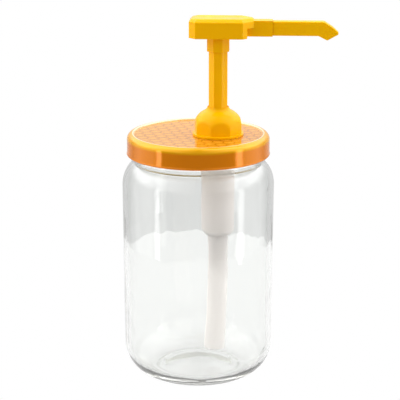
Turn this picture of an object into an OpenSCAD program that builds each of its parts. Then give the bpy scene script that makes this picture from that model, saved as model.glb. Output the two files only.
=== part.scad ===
// Honey dispenser: a clear glass jar, a lacquered tinplate twist-off lid and a hand pump through it.
// Sizes are in millimetres. The origin is the centre of the jar's foot on the table, +Z is up and
// the spout points along +X. The pump stands off the jar's axis, on its own axis at X = pump_x.

/* [Jar] */
// Outside radius of the jar at the top of its wall
jar_r = 44.9; // [43.5:0.2:48.5]
// How much narrower the wall is at the heel
wall_taper = 0.8; // [0:0.1:1.5]
// Height of the rim that the lid seals on
rim_z = 145.8; // [139:0.2:160]
// Thickness of the glass in the wall
jar_wall = 2.6; // [2:0.1:3]
// Radius of the rounded heel, where the wall turns into the foot
heel_r = 18.5; // [15:0.5:19.5]
// Thickness of the glass at the middle of the bottom
floor_t = 4; // [3:0.5:6]
// Outside radius of the neck under the lid
neck_r = 38.9; // [38:0.1:39]
// Number of thread ridges on the neck, and of lugs in the lid
lug_count = 6; // [4:1:6]

/* [Lid] */
// Outside radius of the lid's skirt
lid_r = 42; // [41.9:0.1:42.3]
// Thickness of the lid's sheet
lid_t = 0.4; // [0.3:0.05:0.5]
// Height of the lid from its rolled edge to the top of its rim
lid_h = 12.7; // [12.3:0.1:12.9]
// Radius of the sunk panel in the top
panel_r = 37.5; // [37:0.1:37.6]

/* [Pump] */
// Distance of the pump's axis from the jar's axis
pump_x = 11.6; // [8:0.2:14]
// Outside radius of the cylinder below the lid
cyl_r = 9.7; // [9.5:0.1:9.9]
// Radius of the cylinder's bore
bore_r = 8.2; // [8.1:0.1:8.3]
// Travel of the pump from the top to the end of its stroke
stroke = 32; // [20:1:33]
// Width of the nut across its flats, at its foot
nut_flats = 27.7; // [27.2:0.1:28.2]
// Turn of the nut's flats away from the spout
nut_turn = 6; // [0:1:44]
// Width of the stem across its flats
stem_flats = 10.8; // [10.4:0.1:10.8]
// Outside diameter of the dip tube
tube_d = 12; // [11.4:0.2:13]
// Height of the dip tube's open end above the table
tube_end_z = 15; // [11:0.2:25]
// Sideways set of the dip tube's open end, towards -X
tube_set = 2; // [0.5:0.5:3]

/* [Return spring] */
// Diameter of the spring's wire
wire_d = 1; // [0.8:0.1:1]
// Outside diameter of the spring
spring_d = 10.6; // [10.6:0.1:11.4]
// Turns of the spring, with its closed end turns
spring_turns = 10.5; // [8:0.5:10.5]

/* [Head and spout] */
// Length of the head's block
head_l = 38.2; // [36:0.2:42]
// Width of the head's block
head_w = 18; // [17:0.5:20]
// Reach of the spout's tip from the pump's axis
spout_reach = 70.6; // [66:0.2:80]
// Width of the spout's straight part
spout_w = 6.2; // [6:0.1:7]
// Height of the spout's straight part
spout_h = 8.4; // [8:0.1:8.8]

/* [Hidden] */

glass = [0.86, 0.92, 0.9, 0.45];
orange = "#D97A16";
yellow = "#F2AE00";
milky = [0.93, 0.91, 0.88, 0.8];
steel = "#A9A9A6";
white = "#ECEAE4";

round_fn = 128; // sides of a large round, as drawn
small_fn = 64; // sides of a small round, as drawn
slip = 0.05; // radial play of a part that slides or turns in another

// Jar: foot, heel, shoulder and neck
foot_in = 21; // inner radius of the ring that stands on the table
heel_wall_r = jar_r - wall_taper; // outside radius of the wall where it meets the heel
foot_out = heel_wall_r - heel_r; // outer radius of that ring, where the heel starts
pushup_h = 3.2; // rise of the dome under the bottom
shoulder_z = rim_z - 28.2; // where the wall ends and the shoulder starts
shoulder_r = 17; // radius of the shoulder's arc
crease_angle = 51.4; // angle of the arc at which the shoulder meets the neck
mouth_r = 36.2; // radius of the jar's mouth
bead_r = neck_r + 1; // radius of the bead under the lid
bead_z = rim_z - 12; // middle height of that bead
bead_h = 4.2; // height of that bead
inner_heel_r = 12; // radius inside the heel
lip = 1; // rounding of the rim
ridge_out = 1.6; // how far a thread ridge stands out of the neck
ridge_z = rim_z - 8.2; // underside of the thread ridges
ridge_h = 2.2; // height of a ridge at the neck
lug_pitch = 360 / lug_count; // angle from one lug to the next
ridge_sweep = lug_pitch - 24; // angle that a ridge covers
lug_sweep = 14; // angle that a lug covers
overlap = 0.3; // how deep joined shapes of one piece run into each other

// Lid: the sealing liner lies on the rim, and the panel lies on the liner
liner_t = 0.8;
panel_under = rim_z + liner_t;
panel_top = panel_under + lid_t;
lid_rise = 1; // height of the lid's rounded rim over its panel
shoulder_out = 3.4; // radius of the lid's rounded rim
lid_top = panel_top + lid_rise;
curl_r = 0.75; // radius of the rolled edge
curl_z = lid_top - lid_h + curl_r;
lug_z = curl_z - 0.45; // underside of a lug
lug_h = 1.2; // height of a lug
lug_in = neck_r + 0.6; // radius of a lug's inner end
liner_in = 36.4; // inner radius of the liner

// Pump, from the top of the cylinder down
pump_neck_r = cyl_r + 0.5; // outer radius of the cylinder's threaded neck
hole_r = pump_neck_r + 0.1; // hole in the lid's panel
cyl_top = panel_top + 10.8;
gasket_t = 1;
gasket_r = cyl_r + 3.8; // outer radius of the flange and of the gasket
flange_z = panel_under - gasket_t; // top of the flange
flange_t = 1.4;
floor_z = rim_z - 56.2; // floor of the bore, which the valve cage stands on
cyl_bottom = floor_z - 2.5;
spigot_r = 4.7; // outer radius of the spigot that carries the dip tube
spigot_l = 20.5;
inlet_r = 2.4; // radius of the channel through the spigot
seat_mouth = 3.3; // radius of the valve seat at the floor
seat_slope = 30; // angle between the seat and the axis

// Inlet valve
inlet_ball_r = 3;
inlet_ball_z = floor_z - (seat_mouth / tan(seat_slope)) + inlet_ball_r / sin(seat_slope) + slip;
cage_flange_t = 1;
cage_r = 3.8; // outer radius of the cage's cup, inside the spring
cage_in = 3.3;
cage_top = floor_z + 6.8;
cage_cap_t = 1;
cage_ports = 4;

// Piston and stem, at the top of the stroke
stop_z = panel_top + 1.6; // lower end of the guide, which the stem's collar meets
stem_collar_h = 1.5;
stem_collar_r = 7.4;
seal_top = stop_z - stem_collar_h;
seal_h = 6;
core_journal_r = 5; // the seal turns on this
core_flange_r = 6.6;
core_flange_h = 1.5;
core_flange_z = seal_top - seal_h - core_flange_h;
washer_t = 1;
washer_z = core_flange_z - washer_t;
core_pilot_r = 3.5; // the end that centres the spring
core_pilot_l = 4;
core_rod_r = 3.9; // the rod that is pressed up into the stem
core_rod_l = 8;
core_bore_r = 2.2;
guide_r = 5.95; // bore of the guide and hole in the nut
guide_flange_t = 1;
stem_bore_r = 2.8;

// Spring, between the cage and the washer
spring_z0 = floor_z + cage_flange_t;
spring_z1 = washer_z;
coil_r = (spring_d - wire_d) / 2;
rings_per_turn = 8;
wire_sides = 6;
end_pitch = wire_d + 0.5; // rise of a closed end turn
end_turns = 1; // closed turns at each end
wire_low = wire_d / 2 * cos(180 / wire_sides); // from the wire's middle to its flat underside

// Nut
nut_h = 16.8;
nut_r = 14.35;
nut_flange_r = 15;
nut_flange_h = 1.5;
nut_side_h = 4.9; // height of the nut's straight side
nut_dome_r = 10.45; // radius of the dome over it
nut_dome_angle = 66; // angle at which the dome turns into the sweep up to the lip
nut_lip_r = 6.4;
nut_flat_h = 7; // height up to which the flats are upright
nut_lean = 7.6; // how much narrower the flats are at the top of the nut

// Head and spout, measured from the pump's axis
head_z = rim_z + 59.8; // underside of the block
head_side_h = 9.2;
head_top_h = 10.7;
head_bevel = 1.5;
head_back = -16.8; // X of the block's closed end
head_front = head_back + head_l;
back_chamfer = 3.9;
front_chamfer = 7;
head_wall = 2;
pocket_h = 6.5;
socket_flats = stem_flats + 1.7;
socket_l = 9;
socket_chamfer = 0.8;
socket_z = head_z - socket_l;
spigot_up_r = 4.8; // round top of the stem, pressed into the head
spigot_up_l = 11;
channel_z = head_z + 4.5;
channel_r = 2.1;
sleeve_end = head_front + 10.1; // X at which the head's sleeve ends and the spout starts
sleeve_w = 7.4;
sleeve_low = 0.3; // how far the sleeve stands below the block
nose_low = 5.2; // height of the pointed nose's underside over the block's
nose_x = 16.9; // X of the block's front face under the nose
plug_r = 2.6; // round root of the spout, pressed into the sleeve
plug_l = 8;
plug_bore_r = 1.7;

// Outlet valve, in the top of the stem
outlet_ball_r = 2.5;
outlet_seat_r = 1.6;
outlet_chamber_r = 3;
outlet_seat_z = socket_z + 5;
outlet_ball_z = outlet_seat_z - outlet_seat_r + outlet_ball_r * sqrt(2) + slip;
outlet_slot = [7, 3.4]; // passage over the ball, longer but narrower than the ball

// Points along an arc about c, from angle a to angle b
function arc(c, r, a, b, n = 10) =
    [for (i = [0:n]) c + r * [cos(a + (b - a) * i / n), sin(a + (b - a) * i / n)]];

// Points of a corner at p between a and b, rounded to radius r
function corner(a, p, b, r, n = 5) =
    let (u = (a - p) / norm(a - p), v = (b - p) / norm(b - p), half = acos(u * v) / 2,
         c = p + (u + v) / norm(u + v) * r / sin(half), start = p + u * r / tan(half) - c,
         side = sign(u[0] * v[1] - u[1] * v[0]), from = atan2(start[1], start[0]))
    arc(c, r, from, from - side * (180 - 2 * half), n);

// Radius of an octagon's corners from its width across flats
function octagon_r(flats) = flats / 2 / cos(22.5);

module revolve(points, fn = round_fn) rotate_extrude($fn = fn) polygon(points);

module on_pump(z = 0) translate([pump_x, 0, z]) children();

// Straight or drafted eight-sided bar with flats towards X and Y
module octagon_bar(h, flats, top_flats) rotate(22.5)
    if (flats == top_flats) cylinder(h = h, r = octagon_r(flats), $fn = 8);
    else cylinder(h = h, r1 = octagon_r(flats), r2 = octagon_r(top_flats), $fn = 8);

// ---- Jar ----

// Outline of the jar's outside, from the middle of the bottom up to the rim
function jar_outside() = concat(
    [[0, pushup_h], [foot_in * 0.55, pushup_h - 0.8], [foot_in * 0.85, pushup_h - 2]],
    [[foot_in, 0]],
    arc([foot_out, heel_r], heel_r, -90, 0, 18),
    arc([jar_r - shoulder_r, shoulder_z], shoulder_r, 0, crease_angle, 14),
    [[bead_r - 0.5, bead_z - bead_h / 2 + 0.4]],
    arc([bead_r - 0.9, bead_z], 0.9, -40, 40, 4),
    [[neck_r, bead_z + bead_h / 2]],
    arc([neck_r - lip, rim_z - lip], lip, 0, 90, 4));

// Outline of the inside, from the rim down to the middle of the floor
function jar_inside() = concat(
    arc([mouth_r + lip, rim_z - lip], lip, 90, 180, 4),
    arc([jar_r - shoulder_r, shoulder_z], shoulder_r - jar_wall,
        acos((mouth_r - jar_r + shoulder_r) / (shoulder_r - jar_wall)), 0, 12),
    arc([heel_wall_r - jar_wall - inner_heel_r, pushup_h + floor_t - 2 + inner_heel_r],
        inner_heel_r, 0, -90, 12),
    [[foot_in * 0.5, pushup_h + floor_t - 0.7], [0, pushup_h + floor_t]]);

// One thread ridge, which a lug of the lid slides under
module thread_ridge() rotate_extrude(angle = ridge_sweep, $fn = round_fn)
    polygon([[neck_r - overlap, ridge_z], [neck_r + ridge_out - 0.4, ridge_z],
             [neck_r + ridge_out, ridge_z + 0.5], [neck_r + ridge_out - 0.5, ridge_z + 1.5],
             [neck_r - overlap, ridge_z + ridge_h]]);

module glass_jar() color(glass) {
    revolve(concat(jar_outside(), jar_inside()));
    for (i = [0:lug_count - 1])
        rotate(i * lug_pitch + (lug_pitch - ridge_sweep) / 2) thread_ridge();
}

// ---- Lid ----

// Top side of the sheet, from the panel's middle out and down to the rolled edge
function lid_outside() = concat(
    [[0, panel_top], [panel_r, panel_top]],
    arc([panel_r + 1.1, lid_top - 0.8], 0.8, 165, 90, 5),
    arc([lid_r - shoulder_out, lid_top - shoulder_out], shoulder_out, 80, 0, 8),
    [[lid_r, curl_z]]);

// Underside of the sheet, from the rolled edge back to the middle
function lid_inside() = concat(
    [[lid_r - lid_t, curl_z]],
    arc([lid_r - shoulder_out, lid_top - shoulder_out], shoulder_out - lid_t, 0, 80, 8),
    arc([panel_r + 1.1, lid_top - 0.8], 0.8 - lid_t, 90, 165, 3),
    [[panel_r + 0.2, panel_under], [0, panel_under]]);

// A lug: a tab of the rolled edge, pressed inwards
module lid_lug() rotate(-lug_sweep / 2) rotate_extrude(angle = lug_sweep, $fn = round_fn)
    translate([lug_in, lug_z]) square([lid_r - curl_r - lug_in, lug_h]);

module lid_shell() color(orange) difference() {
    union() {
        revolve(concat(lid_outside(), lid_inside()));
        rotate_extrude($fn = round_fn) translate([lid_r - curl_r + 0.25, curl_z]) circle(curl_r, $fn = 24);
        for (i = [0:lug_count - 1]) rotate(i * lug_pitch) lid_lug();
    }
    on_pump(panel_under - 1) cylinder(h = lid_t + 2, r = hole_r, $fn = small_fn);
}

// Sealing compound in the lid's rim, which lies on the jar's rim
module lid_liner() color(white)
    revolve([[liner_in, rim_z], [lid_r - 0.8, rim_z], [lid_r - 1.3, panel_under],
             [lid_r - 2.1, panel_under + 0.6], [panel_r + 1, panel_under + 0.6],
             [panel_r + 0.5, panel_under], [liner_in, panel_under]]);

// Rubber ring between the cylinder's flange and the underside of the lid
module lid_gasket() color("#3A3A3A") on_pump(flange_z) difference() {
    cylinder(h = gasket_t, r = gasket_r, $fn = small_fn);
    translate([0, 0, -1]) cylinder(h = gasket_t + 2, r = hole_r, $fn = small_fn);
}

// ---- Pump body ----

// Cylinder with its neck, flange, bore, valve seat and spigot, as one revolved wall
module pump_cylinder() color(milky) on_pump() difference() {
    revolve([[0, cyl_bottom - spigot_l], [spigot_r - 0.6, cyl_bottom - spigot_l],
             [spigot_r, cyl_bottom - spigot_l + 1.5], [spigot_r, cyl_bottom], [cyl_r - 1.6, cyl_bottom],
             [cyl_r, cyl_bottom + 2.4], [cyl_r, flange_z - flange_t], [gasket_r, flange_z - flange_t],
             [gasket_r, flange_z], [pump_neck_r, flange_z], [pump_neck_r, cyl_top], [0, cyl_top]], small_fn);
    translate([0, 0, floor_z]) cylinder(h = cyl_top - floor_z + 1, r = bore_r, $fn = small_fn);
    translate([0, 0, floor_z - (seat_mouth - inlet_r) / tan(seat_slope)])
        cylinder(h = (seat_mouth - inlet_r) / tan(seat_slope), r1 = inlet_r, r2 = seat_mouth, $fn = small_fn);
    translate([0, 0, cyl_bottom - spigot_l - 1])
        cylinder(h = floor_z - cyl_bottom + spigot_l, r = inlet_r, $fn = small_fn);
}

// Outline of the nut: straight side, dome and a hollow sweep up to the lip round the stem
nut_outline = concat(
    [[0, 0], [nut_r, 0]],
    arc([nut_r - nut_dome_r, nut_side_h], nut_dome_r, 0, nut_dome_angle, 12),
    [[7.4, 14.95], [6.8, 15.6], [nut_lip_r, 16.35], [nut_lip_r, nut_h], [0, nut_h]]);

module dome_nut() color(yellow) on_pump(panel_top) difference() {
    union() {
        cylinder(h = nut_flange_h, r = nut_flange_r, $fn = round_fn);
        intersection() {
            revolve(nut_outline);
            rotate(nut_turn) {
                octagon_bar(nut_flat_h, nut_flats, nut_flats);
                translate([0, 0, nut_flat_h])
                    octagon_bar(nut_h - nut_flat_h, nut_flats, nut_flats - nut_lean);
            }
        }
    }
    translate([0, 0, -1])
        cylinder(h = cyl_top + guide_flange_t - panel_top + 1, r = hole_r, $fn = small_fn);
    cylinder(h = nut_h + 1, r = guide_r, $fn = small_fn);
}

// Plug in the top of the cylinder: the stem runs in it, and its lower end stops the piston
module stem_guide() color(white) on_pump() difference() {
    union() {
        translate([0, 0, cyl_top]) cylinder(h = guide_flange_t, r = pump_neck_r, $fn = small_fn);
        translate([0, 0, stop_z]) cylinder(h = cyl_top - stop_z + overlap, r = bore_r, $fn = small_fn);
    }
    translate([0, 0, stop_z - 1])
        cylinder(h = cyl_top - stop_z + guide_flange_t + 2, r = guide_r, $fn = small_fn);
}

// Cage over the inlet ball: the spring stands on its flange, and honey leaves by its ports
module ball_cage() color(white) on_pump(floor_z) difference() {
    union() {
        cylinder(h = cage_flange_t, r = bore_r, $fn = small_fn);
        cylinder(h = cage_top - floor_z, r = cage_r, $fn = small_fn);
    }
    translate([0, 0, -1]) cylinder(h = cage_top - floor_z - cage_cap_t + 1, r = cage_in, $fn = small_fn);
    cylinder(h = cage_top, r = 1.5, $fn = small_fn);
    for (i = [0:cage_ports / 2 - 1])
        rotate(i * 360 / cage_ports) translate([-cage_r - 1, -0.9, cage_flange_t + 0.5])
            cube([2 * cage_r + 2, 1.8, 3.4]);
}

module inlet_ball() color(steel) on_pump(inlet_ball_z) sphere(inlet_ball_r, $fn = 48);

module outlet_ball() color(steel) on_pump(outlet_ball_z) sphere(outlet_ball_r, $fn = 48);

// Tube pushed over the spigot: straight there, then a slight set towards -X down to its open end
tube_run = cyl_bottom - spigot_l - tube_end_z; // length of the set part
tube_bend_r = (tube_run * tube_run + tube_set * tube_set) / (2 * tube_set);
tube_bend_angle = asin(tube_run / tube_bend_r);

// Round bar along the tube's line
module tube_bar(r, ends) {
    translate([0, 0, cyl_bottom - spigot_l]) cylinder(h = spigot_l + ends, r = r, $fn = small_fn);
    translate([-tube_bend_r, 0, cyl_bottom - spigot_l]) rotate([-90, 0, 0])
        rotate_extrude(angle = tube_bend_angle + ends * 0.1, $fn = 720)
            translate([tube_bend_r, 0]) circle(r, $fn = small_fn);
}

module dip_tube() color(milky) on_pump() difference() {
    tube_bar(tube_d / 2, 0);
    tube_bar(spigot_r, 1);
}

// ---- Spring ----

// Height of the wire's middle after a number of turns: closed ends, even pitch between them
function coil_z(turn) =
    let (rise = spring_z1 - spring_z0 - 2 * wire_low,
         pitch = (rise - 2 * end_turns * end_pitch) / (spring_turns - 2 * end_turns))
    spring_z0 + wire_low + end_pitch * min(turn, end_turns)
        + pitch * max(0, min(turn, spring_turns - end_turns) - end_turns)
        + end_pitch * max(0, turn - (spring_turns - end_turns));

coil_steps = spring_turns * rings_per_turn;
coil_line = [for (i = [0:coil_steps]) let (a = i * 360 / rings_per_turn)
    [coil_r * cos(a), coil_r * sin(a), coil_z(i / rings_per_turn)]];

// The wire's line with its two ends carried on straight for one wire diameter
wire_line = concat(
    [coil_line[0] - [0, wire_d, 0]], coil_line,
    [coil_line[coil_steps] + wire_d * [-sin(coil_steps * 360 / rings_per_turn),
                                      cos(coil_steps * 360 / rings_per_turn), 0]]);

// Corners of the wire's section at one point of its line, square to the line
function wire_ring(i) =
    let (last = len(wire_line) - 1, p = wire_line[i],
         run = wire_line[min(i + 1, last)] - wire_line[max(i - 1, 0)], along = run / norm(run),
         out = [p[0], p[1], 0] / norm([p[0], p[1]]), side = out - (out * along) * along,
         u = side / norm(side), v = cross(along, u))
    [for (k = [0:wire_sides - 1]) let (a = k * 360 / wire_sides)
        p + wire_d / 2 * (cos(a) * u + sin(a) * v)];

// Closed tube through rings of the same number of points, with triangles throughout
module tube_through(rings) {
    n = len(rings[0]);
    last = len(rings) - 1;
    polyhedron(
        points = [for (ring = rings) each ring],
        faces = concat(
            [for (k = [1:n - 2]) [0, k, k + 1]],
            [for (i = [0:last - 1], k = [0:n - 1]) let (m = (k + 1) % n)
                [i * n + k, (i + 1) * n + k, i * n + m]],
            [for (i = [0:last - 1], k = [0:n - 1]) let (m = (k + 1) % n)
                [i * n + m, (i + 1) * n + k, (i + 1) * n + m]],
            [for (k = [1:n - 2]) [last * n, last * n + k + 1, last * n + k]]));
}

// Least gap between turns, from the points of the wire's line that are over half a turn apart
least_gap = min([for (i = [0:coil_steps], j = [0:coil_steps])
    if (j - i > rings_per_turn / 2) norm(coil_line[j] - coil_line[i]) - wire_d]);

module return_spring() color(steel) on_pump() tube_through([for (i = [0:len(wire_line) - 1]) wire_ring(i)]);

// ---- Piston, stem and head ----

// Flat ring on the spring's upper end, which lets the head turn without winding the spring
module spring_washer() color(steel) on_pump(washer_z) difference() {
    cylinder(h = washer_t, r = core_flange_r - 0.2, $fn = small_fn);
    translate([0, 0, -1]) cylinder(h = washer_t + 2, r = core_pilot_r + 0.1, $fn = small_fn);
}

// Soft ring with a wiping lip at each end, free to turn on the core
module piston_seal() color(white) on_pump(seal_top - seal_h) revolve(
    [[core_journal_r + slip, slip], [bore_r - 1.2, slip], [bore_r - slip, 0.4], [bore_r - slip, 1.2],
     [bore_r - 0.9, 2.2], [bore_r - 0.9, seal_h - 2.2], [bore_r - slip, seal_h - 1.2],
     [bore_r - slip, seal_h - 0.4], [bore_r - 1.2, seal_h - slip], [core_journal_r + slip, seal_h - slip]],
    small_fn);

// Hollow core: a rod pressed into the stem, the seal's journal, a flange and the spring's pilot
module piston_core() color(white) on_pump() difference() {
    revolve([[0, washer_z - core_pilot_l + washer_t], [core_pilot_r - 0.4, washer_z - core_pilot_l + washer_t],
             [core_pilot_r, washer_z - core_pilot_l + washer_t + 0.8], [core_pilot_r, core_flange_z],
             [core_flange_r, core_flange_z], [core_flange_r, core_flange_z + core_flange_h],
             [core_journal_r, core_flange_z + core_flange_h], [core_journal_r, seal_top],
             [core_rod_r, seal_top], [core_rod_r, seal_top + core_rod_l], [0, seal_top + core_rod_l]],
            small_fn);
    translate([0, 0, washer_z - core_pilot_l])
        cylinder(h = seal_top + core_rod_l - washer_z + core_pilot_l + 1, r = core_bore_r, $fn = small_fn);
}

// Eight-sided stem with a stop collar below and a round top that holds the outlet valve
module stem() color(yellow) on_pump() difference() {
    union() {
        translate([0, 0, seal_top]) cylinder(h = stem_collar_h, r = stem_collar_r, $fn = small_fn);
        translate([0, 0, stop_z - overlap])
            octagon_bar(socket_z - stop_z + overlap, stem_flats, stem_flats);
        translate([0, 0, socket_z - overlap])
            cylinder(h = spigot_up_l + overlap, r = spigot_up_r, $fn = small_fn);
    }
    translate([0, 0, seal_top - 1]) cylinder(h = core_rod_l + 1, r = core_rod_r, $fn = small_fn);
    translate([0, 0, seal_top]) cylinder(h = outlet_seat_z - 3 - seal_top, r = stem_bore_r, $fn = small_fn);
    translate([0, 0, seal_top]) cylinder(h = outlet_seat_z - seal_top + 1, r = outlet_seat_r, $fn = small_fn);
    translate([0, 0, outlet_seat_z]) cylinder(h = outlet_chamber_r - outlet_seat_r, r1 = outlet_seat_r,
                                             r2 = outlet_chamber_r, $fn = small_fn);
    translate([0, 0, outlet_seat_z + outlet_chamber_r - outlet_seat_r])
        cylinder(h = spigot_up_l, r = outlet_chamber_r, $fn = small_fn);
}

// Plan of the head's block: a bar with cut corners, blunt at the back and pointed towards the spout
head_plan = let (back_y = head_w / 2 - back_chamfer, front_y = head_w / 2 - front_chamfer)
    [[head_back, -back_y], [head_back + back_chamfer, -head_w / 2], [head_front - front_chamfer, -head_w / 2],
     [head_front, -front_y], [head_front, front_y], [head_front - front_chamfer, head_w / 2],
     [head_back + back_chamfer, head_w / 2], [head_back, back_y]];

// Block with a bevelled edge and a slightly crowned top, cut back under its nose
module head_block() difference() {
    head_bar();
    translate([nose_x, -head_w / 2 - 1, -1]) cube([head_l, head_w + 2, nose_low + 1]);
}

module head_bar() intersection() {
    hull() {
        linear_extrude(head_side_h) polygon(head_plan);
        linear_extrude(head_top_h) offset(delta = -head_bevel) polygon(head_plan);
    }
    crown_r = 70;
    translate([head_back - 1, 0, head_top_h - crown_r]) rotate([0, 90, 0])
        cylinder(h = head_l + 2, r = crown_r, $fn = 360);
}

// Pockets that keep the moulding's walls even: one behind the socket and two beside the channel
module head_pockets() {
    pocket_y = head_w / 2 - head_wall;
    back_x = head_back + head_wall;
    linear_extrude(pocket_h) polygon(
        [[back_x, -pocket_y + 3.4], [back_x + 3.4, -pocket_y], [-socket_flats / 2 - 1.2, -pocket_y],
         [-socket_flats / 2 - 1.2, pocket_y], [back_x + 3.4, pocket_y], [back_x, pocket_y - 3.4]]);
    front_x = nose_x - head_wall;
    corner_x = head_front - front_chamfer - 0.8;
    for (side = [-1, 1]) linear_extrude(pocket_h) polygon(
        [[socket_flats / 2 + 1.2, side * sleeve_w / 2], [socket_flats / 2 + 1.2, side * pocket_y],
         [corner_x, side * pocket_y], [front_x, side * (pocket_y - front_x + corner_x)],
         [front_x, side * sleeve_w / 2]]);
}

module pump_head() color(yellow) on_pump() difference() {
    union() {
        translate([0, 0, head_z]) difference() {
            head_block();
            translate([0, 0, -1]) head_pockets();
        }
        translate([0, 0, socket_z]) octagon_bar(socket_chamfer, socket_flats - 0.9, socket_flats);
        translate([0, 0, socket_z + socket_chamfer])
            octagon_bar(socket_l + head_side_h - 1, socket_flats, socket_flats);
        translate([nose_x - head_wall, -sleeve_w / 2, head_z - sleeve_low])
            cube([sleeve_end - nose_x + head_wall, sleeve_w, head_side_h]);
    }
    translate([0, 0, socket_z - 1]) cylinder(h = spigot_up_l + 1, r = spigot_up_r, $fn = small_fn);
    translate([-outlet_slot[0] / 2, -outlet_slot[1] / 2, socket_z + spigot_up_l - 1])
        cube([outlet_slot[0], outlet_slot[1], channel_z - socket_z - spigot_up_l + 2]);
    translate([0, 0, channel_z]) rotate([0, 90, 0]) cylinder(h = sleeve_end, r = channel_r, $fn = small_fn);
    translate([sleeve_end - plug_l, 0, channel_z]) rotate([0, 90, 0])
        cylinder(h = plug_l + 1, r = plug_r, $fn = small_fn);
}

// Side view of the spout, and the line of its drooping tip
spout_low = head_z + 0.3;
spout_top = spout_low + spout_h;
bend_x = spout_reach - 10.4; // X of the bend in the top
tip_angle = atan(4.2 / 6.95); // fall of the tip's channel
belly = [bend_x - 1.7, spout_low]; // where the underside turns down
tip_low = [bend_x + 4.1, spout_low - 2.1]; // lower corner of the tip, before it is rounded
tip_front = [spout_reach + 0.8, spout_top - 7.1]; // front corner of the tip
tip_back = [bend_x + 4.2, spout_top - 2.1]; // middle of the curve along the tip's top
bend = [bend_x - 0.6, spout_top]; // where the top turns down
spout_side = concat(
    [[sleeve_end, spout_low], belly], corner(belly, tip_low, tip_front, 0.8),
    corner(tip_low, tip_front, tip_back, 1), corner(tip_front, tip_back, bend, 20),
    corner(tip_back, bend, [sleeve_end, spout_top], 6), [[sleeve_end, spout_top]]);
spout_edge = 0.5; // chamfer along the top
tip_w = 4.4; // width of the spout's end

module spout_nozzle() color(yellow) on_pump() difference() {
    union() {
        intersection() {
            rotate([90, 0, 0]) translate([0, 0, -spout_w / 2]) linear_extrude(spout_w) polygon(spout_side);
            translate([0, 0, spout_low - 5]) linear_extrude(spout_h + 10) polygon(
                [[sleeve_end, -spout_w / 2], [bend_x, -spout_w / 2], [spout_reach, -tip_w / 2],
                 [spout_reach, tip_w / 2], [bend_x, spout_w / 2], [sleeve_end, spout_w / 2]]);
            translate([sleeve_end - 1, 0, 0]) rotate([90, 0, 90]) linear_extrude(spout_reach) polygon(
                [[-spout_w / 2, spout_low - 5], [-spout_w / 2, spout_top - spout_edge],
                 [-spout_w / 2 + spout_edge, spout_top], [spout_w / 2 - spout_edge, spout_top],
                 [spout_w / 2, spout_top - spout_edge], [spout_w / 2, spout_low - 5]]);
        }
        translate([sleeve_end - plug_l, 0, channel_z]) rotate([0, 90, 0])
            cylinder(h = plug_l + overlap, r = plug_r, $fn = small_fn);
    }
    translate([sleeve_end - plug_l - 1, 0, channel_z]) rotate([0, 90, 0])
        cylinder(h = bend_x - sleeve_end + plug_l + 1, r = plug_bore_r, $fn = small_fn);
    translate([bend_x, 0, channel_z]) {
        sphere(plug_bore_r + 0.25, $fn = 48);
        rotate([0, 90 + tip_angle, 0]) cylinder(h = 14, r = plug_bore_r, $fn = small_fn);
    }
}

echo(least_gap_between_turns = least_gap,
     spare_length_of_pressed_spring = spring_z1 - spring_z0 - stroke - spring_turns * wire_d);

glass_jar();
lid_liner();
lid_shell();
lid_gasket();
pump_cylinder();
dome_nut();
stem_guide();
ball_cage();
inlet_ball();
return_spring();
spring_washer();
piston_seal();
piston_core();
stem();
outlet_ball();
pump_head();
spout_nozzle();
dip_tube();
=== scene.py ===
# %% [markdown]
# # A honey dispenser, dressed for a studio picture
# The dispenser is a clear glass jar with an orange twist-off lid. A yellow hand pump goes through
# the lid: pressing its head pushes a piston down a milky cylinder, a spring lifts it again, and
# honey comes up the dip tube and out of the spout. The construction and its sizes are already
# there as a fixed frame. This file only gives each piece its finished surface.

# %% Load the fixed frame
import math

import bmesh
import bpy
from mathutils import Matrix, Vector, noise


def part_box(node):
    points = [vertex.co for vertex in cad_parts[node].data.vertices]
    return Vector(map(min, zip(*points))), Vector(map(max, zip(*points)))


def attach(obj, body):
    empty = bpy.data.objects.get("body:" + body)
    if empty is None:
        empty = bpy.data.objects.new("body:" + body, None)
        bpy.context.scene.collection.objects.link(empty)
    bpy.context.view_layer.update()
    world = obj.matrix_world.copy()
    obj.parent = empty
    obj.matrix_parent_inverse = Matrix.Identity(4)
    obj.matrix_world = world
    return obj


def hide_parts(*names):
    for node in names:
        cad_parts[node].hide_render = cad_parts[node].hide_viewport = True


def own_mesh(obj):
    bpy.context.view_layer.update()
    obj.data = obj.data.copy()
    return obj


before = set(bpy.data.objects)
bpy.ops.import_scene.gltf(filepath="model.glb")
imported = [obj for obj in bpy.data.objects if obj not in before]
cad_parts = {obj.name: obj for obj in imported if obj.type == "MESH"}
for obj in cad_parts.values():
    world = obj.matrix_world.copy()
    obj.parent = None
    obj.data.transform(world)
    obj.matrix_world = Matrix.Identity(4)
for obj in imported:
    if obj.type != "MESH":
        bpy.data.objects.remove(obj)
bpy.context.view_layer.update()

# %% [markdown]
# ## Camera
# The picture was taken from a little above the lid with a long lens, so upright lines stay nearly
# upright. The place and the lens come from fitting the jar's foot, the lid and the spout to where
# they stand in the photograph. The spout points slightly towards the camera there, so the camera
# stands 3 degrees round from square on. The plain "Standard" view keeps the yellow as bright as it
# is.

# %% Camera
VIEW_TURN = math.radians(3)  # how far the camera has gone round towards the spout
CAMERA_AWAY, CAMERA_UP = 0.96815, 0.37274  # from the jar's axis and over the table, m
TILT, PAN = math.radians(74.64), math.radians(-0.06)  # up from straight down, and off the axis
LENS, SENSOR = 152.04, 36  # mm

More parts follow.
